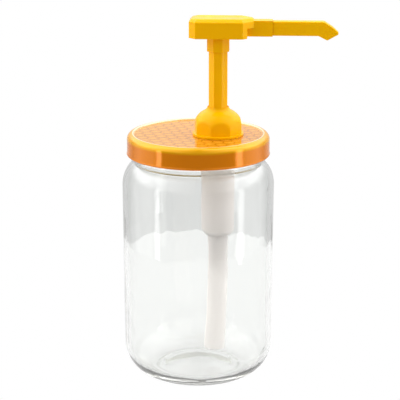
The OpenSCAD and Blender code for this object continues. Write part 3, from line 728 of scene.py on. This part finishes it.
# %% [markdown]
# A ring of soft white compound is flowed into the lid's rim, and the jar's rim presses into it.
# Under the panel a rubber ring seals the pump's flange. Both are the same all round, so each is an
# outline with soft corners, turned about its own axis. `rim_turned` does that for them and for the
# small parts of the pump.

# %% Sealing ring in the lid, and the rubber ring under the panel
def rim_turned(name, points, finish, x=PUMP_X, steps=96):
    """A turned piece from an outline with soft corners, counted from the jar's rim."""
    return piece(name, turned(soften(from_rim(points)), x, steps), finish)


liner = rim_turned("lid_seal_ring", [
    (36.4, 0, 0.2), (41.2, 0, 0.2), (40.7, 0.8, 0.2), (39.9, 1.4, 0.3), (38.5, 1.4, 0.3),
    (38, 0.8, 0.2), (36.4, 0.8, 0.2)], COMPOUND, x=0, steps=128)
dress(liner, "lid_seal", "liner_compound", "lid_liner")
gasket = rim_turned("flange_gasket", [
    (10.3, -0.2, 0.15), (13.5, -0.2, 0.25), (13.5, 0.8, 0.25), (10.3, 0.8, 0.15)], RUBBER, steps=128)
dress(gasket, "lid", "gasket_rubber", "lid_gasket")

# %% [markdown]
# ## Pump body
# The cylinder, or barrel, hangs from the lid by its flange. It is one turned, closed wall: up the
# outside from the spigot that carries the tube, over the neck, and down the bore to the seat of
# the lower ball. Its corners are rounded by 0.1 to 0.9 mm, as a plastic moulding needs.

# %% Barrel
barrel_line = soften(from_rim([
    (2.4, -79.2, 0.2), (4.1, -79.2, 0.2), (4.7, -77.7, 0.3), (4.7, -58.7, 0.4), (8.1, -58.7, 0.8),
    (9.7, -56.3, 0.9), (9.7, -1.6, 0.5), (13.5, -1.6, 0.25), (13.5, -0.2, 0.15), (10.2, -0.2, 0.1),
    (10.2, 12, 0.3), (8.2, 12, 0.2), (8.2, -56.2, 0.4), (3.3, -56.2, 0.15), (2.4, -57.76, 0.2)]))
barrel = piece("pump_barrel", turned(fine(barrel_line, 6), PUMP_X, 96), BARREL)
dress(barrel, "lid", "milky_plastic", "pump_cylinder")

# %% [markdown]
# The dip tube is extruded, so it is the same ring all along, and it has a slight set because it
# was once on a reel. Its loops follow a straight run over the spigot and then a very large arc.

# %% Dip tube
TUBE_R, TUBE_BORE_R = 6.0, 4.7
TUBE_TOP, SET_FROM = RIM_Z - 58.7, RIM_Z - 79.2  # the stretch on the spigot
SPIGOT_SHARE = 0.25  # share of the loops that lie on it
SET_R, SET_ANGLE = 666.6, math.radians(4.44)  # the very large arc


def tube_loop(share, r, steps=64):
    """A loop of radius r at a share of the way down: on the spigot, then along the arc."""
    if share < SPIGOT_SHARE:
        x, z, a = PUMP_X, TUBE_TOP + (SET_FROM - TUBE_TOP) * share / SPIGOT_SHARE, 0.0
    else:
        a = SET_ANGLE * (share - SPIGOT_SHARE) / (1 - SPIGOT_SHARE)
        x, z = PUMP_X - SET_R + SET_R * math.cos(a), SET_FROM - SET_R * math.sin(a)
    out, side = Vector((math.cos(a), 0, -math.sin(a))), Vector((0, 1, 0))
    turn = [2 * math.pi * k / steps for k in range(steps)]
    return [Vector((x, 0, z)) + r * (math.cos(t) * out + math.sin(t) * side) for t in turn]


shares = [0, 0.003] + [k / 24 for k in range(1, 24)] + [0.997, 1]
tube_loops = [tube_loop(s, TUBE_R - (0.2 if s in (0, 1) else 0)) for s in shares]
tube_loops += [tube_loop(s, TUBE_BORE_R + (0.1 if s in (0, 1) else 0)) for s in reversed(shares)]
tube = piece("suction_tube", skin(tube_loops, closed=True), TUBE)
dress(tube, "lid", "milky_plastic", "dip_tube")

# %% [markdown]
# The nut is a dome with eight upright flats, so each flat ends in a round arch where it runs out of
# the dome. That shape follows a rule: at each height and angle the surface is the smaller of the
# dome's radius and the distance to the nearest flat. Taking a soft minimum of the two gives the
# edges the rounding of a polished mould.

# %% Nut
FLATS, FLATS_FROM = 26.6, 1.45  # over two flats, and the height of the round foot below them
NUT_TURN = 9.0  # degrees from +X to the middle of a flat
NUT_EDGE = 0.45  # rounding where a flat meets the dome
nut_side = soften([(10.35, 0, 0.1), (15, 0, 0.3), (15, 1.5, 0.45), (14.35, 1.75, 0.2), (14.35, 4.9)])
nut_side += arc(3.9, 4.9, 10.45, 0, 66, 24)[1:]
nut_side += soften([(8.15, 14.45), (7.4, 14.95, 0.8), (6.8, 15.6, 0.8), (6.4, 16.3, 0.4),
                    (6.4, 16.8, 0.25), (6.1, 16.8)])[1:]
nut_side = fine(nut_side, 0.4)
nut_bore = soften([(6.1, 16.8), (5.95, 16.8, 0.1), (5.95, 11.8, 0.1), (10.35, 11.8, 0.1),
                   (10.35, 0.3)])[1:]


def nut_form(i, r, z, a):
    """Cuts the flats into the outside of the dome and stands the nut on the panel."""
    if i < len(nut_side) and z > FLATS_FROM:
        off = (math.degrees(a) - NUT_TURN + 22.5) % 45 - 22.5
        flat = FLATS / 2 / math.cos(math.radians(off))
        near = max(NUT_EDGE - abs(r - flat), 0) / NUT_EDGE
        r = min(r, flat) - near * near * NUT_EDGE / 4
    return r, z + PANEL_Z


nut = piece("arched_nut", turned(nut_side + nut_bore, PUMP_X, 360, shape=nut_form), YELLOW, sharp=50)
dress(nut, "lid", "yellow_plastic", "dome_nut")

# %% [markdown]
# Four turned parts work in the barrel. The bushing in its top guides the stem and stops the piston.
# The piston rod is hollow, so that the honey can rise through it, and carries a soft seal whose two
# lips wipe the bore. The spring pushes on a washer under the rod's shoulder.

# %% Bushing, piston rod, seal and washer
bushing = rim_turned("stem_bushing", [
    (5.95, 2.8, 0.3), (8.2, 2.8, 0.3), (8.2, 11.9, 0.1), (10.2, 12, 0.15), (10.2, 13, 0.25),
    (5.95, 13, 0.4)], WHITE)
dress(bushing, "lid", "white_plastic", "stem_guide")
rod = rim_turned("piston_rod", [
    (2.2, -10.2, 0.1), (3.1, -10.2, 0.2), (3.5, -9.4, 0.3), (3.5, -6.2, 0.1), (6.6, -6.2, 0.25),
    (6.6, -4.7, 0.25), (5, -4.7, 0.1), (5, 1.3, 0.1), (3.9, 1.3, 0.05), (3.9, 9.3, 0.3),
    (2.2, 9.3, 0.2)], WHITE, steps=64)
dress(rod, "piston", "white_plastic", "piston_core")
wiper = rim_turned("wiper_seal", [
    (5.05, -4.65, 0.2), (7, -4.65, 0.2), (8.15, -4.3, 0.15), (8.15, -3.5, 0.2), (7.3, -2.5, 0.6),
    (7.3, -0.9, 0.6), (8.15, 0.1, 0.2), (8.15, 0.9, 0.15), (7, 1.25, 0.2), (5.05, 1.25, 0.2)], SEAL)
dress(wiper, "piston", "seal_plastic", "piston_seal")
washer = rim_turned("coil_washer", [
    (3.6, -7.2, 0.1), (6.4, -7.2, 0.15), (6.4, -6.2, 0.15), (3.6, -6.2, 0.1)], SHEET)
dress(washer, "piston", "spring_steel", "spring_washer")

# %% [markdown]
# The two valve balls are plain ground balls. Their places come from the frame. The small cage over
# the lower ball is right as it is in the frame, so it only gets its finish.

# %% Valve balls and cage
for name, node_name, body in (("lower_valve_ball", "inlet_ball", "inlet_valve"),
                              ("upper_valve_ball", "outlet_ball", "outlet_valve")):
    low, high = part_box(node_name)
    middle, radius = (low[2] + high[2]) / 2 / MM, (high[2] - low[2]) / 2 / MM
    ball = piece(name, turned(arc(0, middle, radius, -90, 90, 24), PUMP_X, 48), BALL)
    dress(ball, body, "ball_steel", node_name)
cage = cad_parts["ball_cage"]
for i in range(len(cage.data.materials)):
    cage.data.materials[i] = WHITE
print(f"cage keeps its {len(cage.data.polygons)} faces")

# %% [markdown]
# ## Return spring
# A compression spring has even coils in the middle and a closed coil at each end, so that it
# stands square. Its wire follows a rule of the number of turns, which is what Geometry Nodes does
# well: a line of points is moved onto the coil, and a round wire is swept along it.

# %% Spring
WIRE_R, COIL_R, TURNS, END_PITCH = 0.5, 4.8, 10.5, 1.5
spring_low, spring_high = [z / MM for z in (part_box("return_spring")[0][2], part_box("return_spring")[1][2])]
open_pitch = (spring_high - spring_low - 2 * WIRE_R - 2 * END_PITCH) / (TURNS - 2)


def coil(tree, size):
    """Wire round the pump's axis, with one turn at each end laid close."""
    line = node(tree, "GeometryNodeCurvePrimitiveLine")
    points = node(tree, "GeometryNodeResampleCurve", {"Curve": line, "Count": size["points"]},
                  mode="COUNT")
    # the number of turns up to each point, and how many of them are close or open
    index = node(tree, "GeometryNodeInputIndex")
    steps = node(tree, "ShaderNodeMath", {0: size["points"], 1: 1.0}, operation="SUBTRACT")
    share = node(tree, "ShaderNodeMath", {0: index, 1: steps}, operation="DIVIDE")
    turn = node(tree, "ShaderNodeMath", {0: share, 1: size["turns"]}, operation="MULTIPLY")
    last = node(tree, "ShaderNodeMath", {0: size["turns"], 1: 1.0}, operation="SUBTRACT")
    low_close = node(tree, "ShaderNodeMath", {0: turn, 1: 1.0}, operation="MINIMUM")
    past_last = node(tree, "ShaderNodeMath", {0: turn, 1: last}, operation="SUBTRACT")
    high_close = node(tree, "ShaderNodeMath", {0: past_last, 1: 0.0}, operation="MAXIMUM")
    close = node(tree, "ShaderNodeMath", {0: low_close, 1: high_close}, operation="ADD")
    up_to_last = node(tree, "ShaderNodeMath", {0: turn, 1: last}, operation="MINIMUM")
    past_first = node(tree, "ShaderNodeMath", {0: up_to_last, 1: 1.0}, operation="SUBTRACT")
    wide = node(tree, "ShaderNodeMath", {0: past_first, 1: 0.0}, operation="MAXIMUM")
    # height
    close_rise = node(tree, "ShaderNodeMath", {0: close, 1: size["closed pitch"]}, operation="MULTIPLY")
    wide_rise = node(tree, "ShaderNodeMath", {0: wide, 1: size["open pitch"]}, operation="MULTIPLY")
    rise = node(tree, "ShaderNodeMath", {0: close_rise, 1: wide_rise}, operation="ADD")
    z = node(tree, "ShaderNodeMath", {0: rise, 1: size["start"]}, operation="ADD")
    # place round the axis
    angle = node(tree, "ShaderNodeMath", {0: turn, 1: 2 * math.pi}, operation="MULTIPLY")
    cosine = node(tree, "ShaderNodeMath", {0: angle}, operation="COSINE")
    sine = node(tree, "ShaderNodeMath", {0: angle}, operation="SINE")
    off_x = node(tree, "ShaderNodeMath", {0: size["coil"], 1: cosine}, operation="MULTIPLY")
    x = node(tree, "ShaderNodeMath", {0: size["axis"], 1: off_x}, operation="ADD")
    y = node(tree, "ShaderNodeMath", {0: size["coil"], 1: sine}, operation="MULTIPLY")
    on_coil = node(tree, "ShaderNodeCombineXYZ", {"X": x, "Y": y, "Z": z})
    wound = node(tree, "GeometryNodeSetPosition", {"Geometry": points, "Position": on_coil})
    wire = node(tree, "GeometryNodeCurvePrimitiveCircle", {"Resolution": 12, "Radius": size["wire"]})
    return node(tree, "GeometryNodeCurveToMesh",
                {"Curve": wound, "Profile Curve": wire, "Fill Caps": True})


spring = grow("coil_spring", {
    "points": 681, "turns": TURNS, "coil": COIL_R * MM, "wire": WIRE_R * MM, "axis": PUMP_X * MM,
    "start": (spring_low + WIRE_R) * MM, "closed pitch": END_PITCH * MM,
    "open pitch": open_pitch * MM}, WIRE, coil)
dress(spring, "lid", "spring_steel", "return_spring")
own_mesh(spring)

# %% [markdown]
# ## Stem, head and spout
# These three are straight-sided mouldings with soft edges. The stem's shape is right in the frame,
# so a copy of it is merged, its flat areas are joined up again, and a narrow bevel is laid along
# every edge, with its shading kept square on the flats.

# %% Modifiers made real, and soft edges
def apply_modifiers(obj):
    """Turns what the modifiers make into a plain mesh."""
    graph = bpy.context.evaluated_depsgraph_get()
    name, obj.data = obj.data.name, bpy.data.meshes.new_from_object(obj.evaluated_get(graph))
    obj.modifiers.clear()
    obj.data.name = name


def soft_edges(obj, width, angle=22):
    """A bevel of a width in millimetres along the edges that are sharper than an angle."""
    bevel = obj.modifiers.new("soft edges", "BEVEL")
    bevel.width, bevel.segments, bevel.limit_method = width * MM, 3, "ANGLE"
    bevel.angle_limit, bevel.harden_normals = math.radians(angle), True
    bevel.miter_outer = "MITER_ARC"
    apply_modifiers(obj)


# %% Stem
stem_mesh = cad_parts["stem"].data.copy()
bm = bmesh.new()
bm.from_mesh(stem_mesh)
bmesh.ops.remove_doubles(bm, verts=bm.verts, dist=0.002 * MM)
bmesh.ops.dissolve_limit(bm, angle_limit=math.radians(0.6), verts=bm.verts, edges=bm.edges)
bm.to_mesh(stem_mesh)
bm.free()
stem_mesh.materials.clear()
stem_mesh.materials.append(YELLOW)
stem_mesh.shade_smooth()
stem = bpy.data.objects.new("fluted_stem", stem_mesh)
bpy.context.scene.collection.objects.link(stem)
soft_edges(stem, 0.35)
dress(stem, "piston", "yellow_plastic", "stem")

# %% [markdown]
# The head is an upturned tray with a socket for the stem and a sleeve for the spout. Its plan is a
# bar with cut corners, blunt at the back and pointed in front. The plan is pulled up through a few
# heights and drawn in at each, which gives the bevelled edge and the shallow dish for the finger.
# Boolean modifiers join the sleeve and the socket to it, then the edges are softened, and last the
# pockets and the bores are cut, as the cores of the mould do.

# %% Solids from outlines
def stacked(loops):
    """A closed solid through flat loops of equal length, with a face at each end."""
    points, faces = skin(loops, closed=False)
    n = len(loops[0])
    return points, faces + [tuple(range(n)), tuple(range(len(points) - n, len(points)))]


def level(plan, z):
    """A plan, counted from the pump's axis, at a height counted from the jar's rim."""
    return [(PUMP_X + x, y, RIM_Z + z) for x, y in plan]


def drawn_in(plan, by):
    """A convex plan with every side moved in by a distance."""
    out = []
    for i, here in enumerate(plan):
        sides = []
        for a, b in ((plan[i - 1], here), (here, plan[(i + 1) % len(plan)])):
            run = (Vector(b) - Vector(a)).normalized()
            sides.append(Vector((-run.y, run.x)))
        out.append(Vector(here) + by * (sides[0] + sides[1]) / (1 + sides[0].dot(sides[1])))
    return out


def bar(start, end, r, sides=32):
    """A round bar, or one with a few flats, between two points counted like a plan's."""
    a, b = [Vector((PUMP_X + x, y, RIM_Z + z)) for x, y, z in (start, end)]
    turn = (b - a).to_track_quat("Z", "Y")
    ring = [turn @ Vector((r * math.cos(t), r * math.sin(t), 0))
            for t in [2 * math.pi * (k + 0.5) / sides for k in range(sides)]]
    return stacked([[a + q for q in ring], [b + q for q in ring]])


def block(x, y, z):
    """A box from three pairs of limits."""
    plan = [(x[0], y[0]), (x[1], y[0]), (x[1], y[1]), (x[0], y[1])]
    return stacked([level(plan, height) for height in z])


def combine(obj, operation, *shapes):
    """Joins solids to a piece, or cuts them out of it."""
    for shape in shapes:
        tool = piece("tool", shape, YELLOW)
        boolean = obj.modifiers.new("combine", "BOOLEAN")
        boolean.operation, boolean.object, boolean.solver = operation, tool, "EXACT"
        apply_modifiers(obj)
        bpy.data.objects.remove(tool)


# %% Head: outside
HEAD_Z = 59.25  # its underside over the jar's rim
HEAD_W, HEAD_BACK, HEAD_FRONT = 20.0, -16.8, 21.4  # its width, and its ends from the pump's axis
BACK_CUT, FRONT_CUT = 3.9, 7  # how much its corners are cut off
HEAD_WALL = 2
NOSE_X, NOSE_Z = 16.9, HEAD_Z + 5.75  # from here on the nose has no side below this height
NOSE_WALL_X = NOSE_X - HEAD_WALL
SLEEVE_HALF, SLEEVE_END = 3.7, 31.5
SOCKET_LOW, SOCKET_TOP = HEAD_Z - 8.4, HEAD_Z + 8.45
SOCKET_R = 12.9 / 2 / math.cos(math.radians(22.5))  # to its corners; it is 12.9 over its flats
CUT_PAST = 1  # a cutter reaches past the surface, so that no skin is left

half = HEAD_W / 2
head_plan = [(HEAD_BACK, BACK_CUT - half), (HEAD_BACK + BACK_CUT, -half),
             (HEAD_FRONT - FRONT_CUT, -half), (HEAD_FRONT, FRONT_CUT - half),
             (HEAD_FRONT, half - FRONT_CUT), (HEAD_FRONT - FRONT_CUT, half),
             (HEAD_BACK + BACK_CUT, half), (HEAD_BACK, half - BACK_CUT)]
head_steps = [(0, 0), (0, 9.45), (1.6, 10.95), (2.4, 11.3), (3.4, 11.3), (4.6, 11.05), (5.8, 10.95)]
head_loops = [level(drawn_in(head_plan, by), HEAD_Z + z) for by, z in head_steps]
head = piece("press_head", stacked(head_loops), YELLOW)
combine(head, "DIFFERENCE",
        block((NOSE_X, 40), (-half - CUT_PAST, half + CUT_PAST), (HEAD_Z - CUT_PAST, NOSE_Z)))
combine(head, "UNION",
        block((NOSE_WALL_X, SLEEVE_END), (-SLEEVE_HALF, SLEEVE_HALF),
              (HEAD_Z + 0.75, HEAD_Z + 9.95)),
        bar((0, 0, SOCKET_LOW), (0, 0, SOCKET_TOP), SOCKET_R, 8))
soft_edges(head, 0.45)
print(f"head {HEAD_FRONT - HEAD_BACK:.1f} mm long, its sleeve ends {SLEEVE_END} mm from the pump's axis")

# %% Head: pockets and bores
POCKET_X, POCKET_TOP = 7.65, HEAD_Z + 8  # the pockets leave the socket's sides and the top
POCKET_CUT = 3.4  # how much the back pocket's corners are cut off
CHANNEL_Z = HEAD_Z + 5.3  # middle of the honey channel
STEM_BORE_R, CHANNEL_R, ROOT_BORE_R = 4.82, 2.1, 2.62
ROOT_IN = 8  # how deep the spout's root goes into the sleeve

pocket_y, pocket_back, corner_x = half - HEAD_WALL, HEAD_BACK + HEAD_WALL, HEAD_FRONT - 7.8
back_pocket = [(pocket_back, POCKET_CUT - pocket_y), (pocket_back + POCKET_CUT, -pocket_y),
               (-POCKET_X, -pocket_y), (-POCKET_X, pocket_y),
               (pocket_back + POCKET_CUT, pocket_y), (pocket_back, pocket_y - POCKET_CUT)]
side_pocket = [(POCKET_X, SLEEVE_HALF), (NOSE_WALL_X, SLEEVE_HALF),
               (NOSE_WALL_X, pocket_y - (NOSE_WALL_X - corner_x)), (corner_x, pocket_y),
               (POCKET_X, pocket_y)]
for plan in (back_pocket, side_pocket, [(x, -y) for x, y in reversed(side_pocket)]):
    combine(head, "DIFFERENCE", stacked([level(plan, HEAD_Z - CUT_PAST), level(plan, POCKET_TOP)]))
past_sleeve = (SLEEVE_END + CUT_PAST, 0, CHANNEL_Z)
combine(head, "DIFFERENCE",
        bar((0, 0, SOCKET_LOW - CUT_PAST), (0, 0, HEAD_Z + 2.6), STEM_BORE_R),
        block((-3.5, 3.5), (-1.7, 1.7), (HEAD_Z + 1.6, CHANNEL_Z + 1)),  # way up to the channel
        bar((0, 0, CHANNEL_Z), past_sleeve, CHANNEL_R),
        bar((SLEEVE_END - ROOT_IN, 0, CHANNEL_Z), past_sleeve, ROOT_BORE_R))
dress(head, "head", "yellow_plastic", "pump_head")

# %% [markdown]
# The spout is a flat bar whose end droops. Two lines give its top and its underside, and a loop is
# laid between them at every point of either, narrower towards the tip. Its round root goes into
# the sleeve, and the channel comes out in the middle of the tip.

# %% Spout: its two lines
REACH, BEND = 69.4, 61.0  # ends of the whole spout and of its level part, from the pump's axis
SPOUT_LOW, SPOUT_TOP = HEAD_Z + 1.2, HEAD_Z + 9.5
TIP_Z = SPOUT_TOP - 7  # where both lines end, just past the tip
SPOUT_HALF, TIP_HALF, BEVEL = 3.1, 2.2, 0.5  # half widths, and the cut along the top edges

underside = soften([(SLEEVE_END, SPOUT_LOW), (BEND - 3.2, SPOUT_LOW, 1.2),
                    (BEND + 1.9, SPOUT_LOW - 2.6, 0.8), (REACH + 0.8, TIP_Z)])
top_line = soften([(SLEEVE_END, SPOUT_TOP), (BEND, SPOUT_TOP, 3), (BEND + 5, SPOUT_TOP - 3.15, 16),
                   (REACH + 0.8, TIP_Z)])


def height_on(line, x):
    """Height of a line at a place along it."""
    for a, b in zip(line, line[1:]):
        if a.x <= x <= b.x:
            return a.y + (b.y - a.y) * (x - a.x) / max(b.x - a.x, 1e-6)


print(f"top line of {len(top_line)} points, underside of {len(underside)}")

# %% Spout: loops, root and channel
ROOT_R, SPOUT_BORE_R = 2.58, 1.7
FALL, FALL_LENGTH = math.radians(35), 16  # the last stretch of the channel

places = sorted({round(q.x, 3) for q in underside + top_line if q.x < REACH - 0.2} | {REACH - 0.1})
spout_loops = []
for x in places:
    w = SPOUT_HALF - (SPOUT_HALF - TIP_HALF) * max(x - BEND, 0) / (REACH - BEND)
    low, high = height_on(underside, x), height_on(top_line, x)
    section = [(-w, low), (w, low), (w, high - BEVEL), (w - BEVEL, high), (BEVEL - w, high),
               (-w, high - BEVEL)]
    spout_loops.append([(PUMP_X + x, y, RIM_Z + z) for y, z in section])
spout = piece("drip_spout", stacked(spout_loops), YELLOW)
soft_edges(spout, 0.3)
root = bar((SLEEVE_END - ROOT_IN, 0, CHANNEL_Z), (SLEEVE_END + 0.5, 0, CHANNEL_Z), ROOT_R)
combine(spout, "UNION", root)
fall_from = BEND - 1.5
fall_to = (fall_from + FALL_LENGTH * math.cos(FALL), 0, CHANNEL_Z - FALL_LENGTH * math.sin(FALL))
combine(spout, "DIFFERENCE",
        bar((SLEEVE_END - ROOT_IN - CUT_PAST, 0, CHANNEL_Z), (fall_from + 0.4, 0, CHANNEL_Z),
            SPOUT_BORE_R),
        bar((fall_from, 0, CHANNEL_Z), fall_to, SPOUT_BORE_R))
dress(spout, "head", "yellow_plastic", "spout_nozzle")

# %% [markdown]
# ## Studio
# The picture is a cut-out on white, lit from all round. Its glossy faces say how: the front of the
# lid mirrors a dim area on the camera's side, between two narrow bright strips. Beside the strips
# stand white softboxes, dimmer ones stand behind the object, and high up the sides are brighter
# than the ceiling. Through the jar the backdrop shows as a light grey, so nothing seen through
# glass is darker than that. To the camera itself the world is plain white. For everything else it
# is a ring of zones round the object, drawn by azimuth, which turns into a second ring above.

# %% World
STRIP = 3.4  # brightness of each zone; the strips are the brightest
FRONT, SIDE, BACK, CEILING = 0.22, 1.2, 0.80, 1.22
PALEST = 0.71  # the least that glass shows
RING_TOP, CEILING_LOW = math.radians(7.5), math.radians(26)  # between these the rings blend


def lay(ring, zones):
    """Puts pairs of degrees and brightness on a colour ramp that goes once round."""
    stops = ring.color_ramp.elements
    for i, (degrees, light) in enumerate(zones):
        stop = stops[i] if i < 2 else stops.new(0.5 + degrees / 360)
        stop.position = 0.5 + degrees / 360
        stop.color = (*[light / STRIP] * 3, 1)


def once_round(tree, split):
    """Azimuth as a share from 0 to 1, with the camera's side in the middle."""
    away = node(tree, "ShaderNodeMath", {0: split[1], 1: -1.0}, operation="MULTIPLY")
    azimuth = node(tree, "ShaderNodeMath", {0: split[0], 1: away}, operation="ARCTAN2")
    from_camera = node(tree, "ShaderNodeMath", {0: azimuth, 1: VIEW_TURN}, operation="SUBTRACT")
    rounds = node(tree, "ShaderNodeMath", {0: from_camera, 1: 2 * math.pi}, operation="DIVIDE")
    return node(tree, "ShaderNodeMath", {0: rounds, 1: 0.5}, operation="ADD")


def zones_of_light(tree):
    """The colour of the studio in every direction."""
    look = node(tree, "ShaderNodeTexCoord").outputs["Generated"]
    split = node(tree, "ShaderNodeSeparateXYZ", {0: look}).outputs
    share = once_round(tree, split)
    ring = node(tree, "ShaderNodeValToRGB", {"Fac": share})
    lay(ring, [(-180, BACK), (-150, 0.8 * BACK), (-128, 0.35 * SIDE), (-110, SIDE), (-78, SIDE),
               (-71, 0.7 * SIDE), (-68.5, STRIP), (-62.5, STRIP), (-60, FRONT), (60, FRONT),
               (65, STRIP), (73, STRIP), (77, 0.7 * SIDE), (84, SIDE), (110, SIDE),
               (128, 0.35 * SIDE), (150, 0.8 * BACK), (180, BACK)])
    above = node(tree, "ShaderNodeValToRGB", {"Fac": share})
    lay(above, [(-180, CEILING), (-100, 2.7 * CEILING), (-60, 1.4 * CEILING), (0, 0.2 * CEILING),
                (60, 1.4 * CEILING), (100, 2.7 * CEILING), (180, CEILING)])
    height = node(tree, "ShaderNodeMath", {0: split[2]}, operation="ARCSINE")
    up = node(tree, "ShaderNodeMapRange", {
        "Value": height, "From Min": RING_TOP, "From Max": CEILING_LOW},
        interpolation_type="SMOOTHSTEP")
    return node(tree, "ShaderNodeMix", {0: up, 6: ring, 7: above}, data_type="RGBA").outputs[2]


def studio():
    world = bpy.data.worlds.new("studio")
    bpy.context.scene.world = world
    world.use_nodes = True
    tree = world.node_tree
    tree.nodes.clear()
    path = node(tree, "ShaderNodeLightPath").outputs
    around = node(tree, "ShaderNodeMix", {
        0: path["Is Transmission Ray"], 6: zones_of_light(tree), 7: (*[PALEST / STRIP] * 3, 1)},
        data_type="RGBA", blend_type="LIGHTEN").outputs[2]
    lit = node(tree, "ShaderNodeBackground", {"Color": around, "Strength": STRIP})
    seen = node(tree, "ShaderNodeBackground", {"Color": (1, 1, 1, 1), "Strength": 1.0})
    mix = node(tree, "ShaderNodeMixShader", {0: path["Is Camera Ray"], 1: lit, 2: seen})
    node(tree, "ShaderNodeOutputWorld", {"Surface": mix})
    print(f"{world.name} with {len(tree.nodes)} nodes")


studio()

# %% [markdown]
# The floor is a plain pale disc. The camera sees it as white as the backdrop, so it shows only in
# what it throws back: a matt grey with a glow of its own, dimmer where the jar stands and the
# studio's light can't reach.

# %% Floor
FLOOR_R, FLOOR_Z = 293, -0.2
FLOOR_GREY = 0.33
NEAR_GLOW, FAR_GLOW = 0.31, 0.42  # up to 20 mm from the jar's axis, and from 80 mm on


def pale_floor():
    finish = bpy.data.materials.new("plain pale floor")
    finish.use_nodes = True
    tree = finish.node_tree
    tree.nodes.clear()
    matt = node(tree, "ShaderNodeBsdfDiffuse", {"Color": (*[FLOOR_GREY] * 3, 1)})
    place = node(tree, "ShaderNodeTexCoord").outputs["Object"]
    away = node(tree, "ShaderNodeVectorMath", {0: place}, operation="LENGTH").outputs["Value"]
    shade = node(tree, "ShaderNodeMapRange", {
        "Value": away, "From Min": 20 * MM, "From Max": 80 * MM, "To Min": NEAR_GLOW,
        "To Max": FAR_GLOW}, interpolation_type="SMOOTHSTEP")
    glow = node(tree, "ShaderNodeEmission", {"Color": (1, 1, 1, 1), "Strength": shade})
    lit = node(tree, "ShaderNodeAddShader", {0: matt, 1: glow})
    white = node(tree, "ShaderNodeEmission", {"Color": (1, 1, 1, 1), "Strength": 1.0})
    seen = node(tree, "ShaderNodeLightPath").outputs["Is Camera Ray"]
    both = node(tree, "ShaderNodeMixShader", {0: seen, 1: lit, 2: white})
    node(tree, "ShaderNodeOutputMaterial", {"Surface": both})
    return finish


floor_turn = [2 * math.pi * k / 96 for k in range(96)]
floor_loops = [[(r * math.cos(a), r * math.sin(a), FLOOR_Z) for a in floor_turn] for r in (0, FLOOR_R)]
floor = piece("floor", skin(floor_loops, closed=False), pale_floor())
print(f"floor {2 * FLOOR_R} mm across")
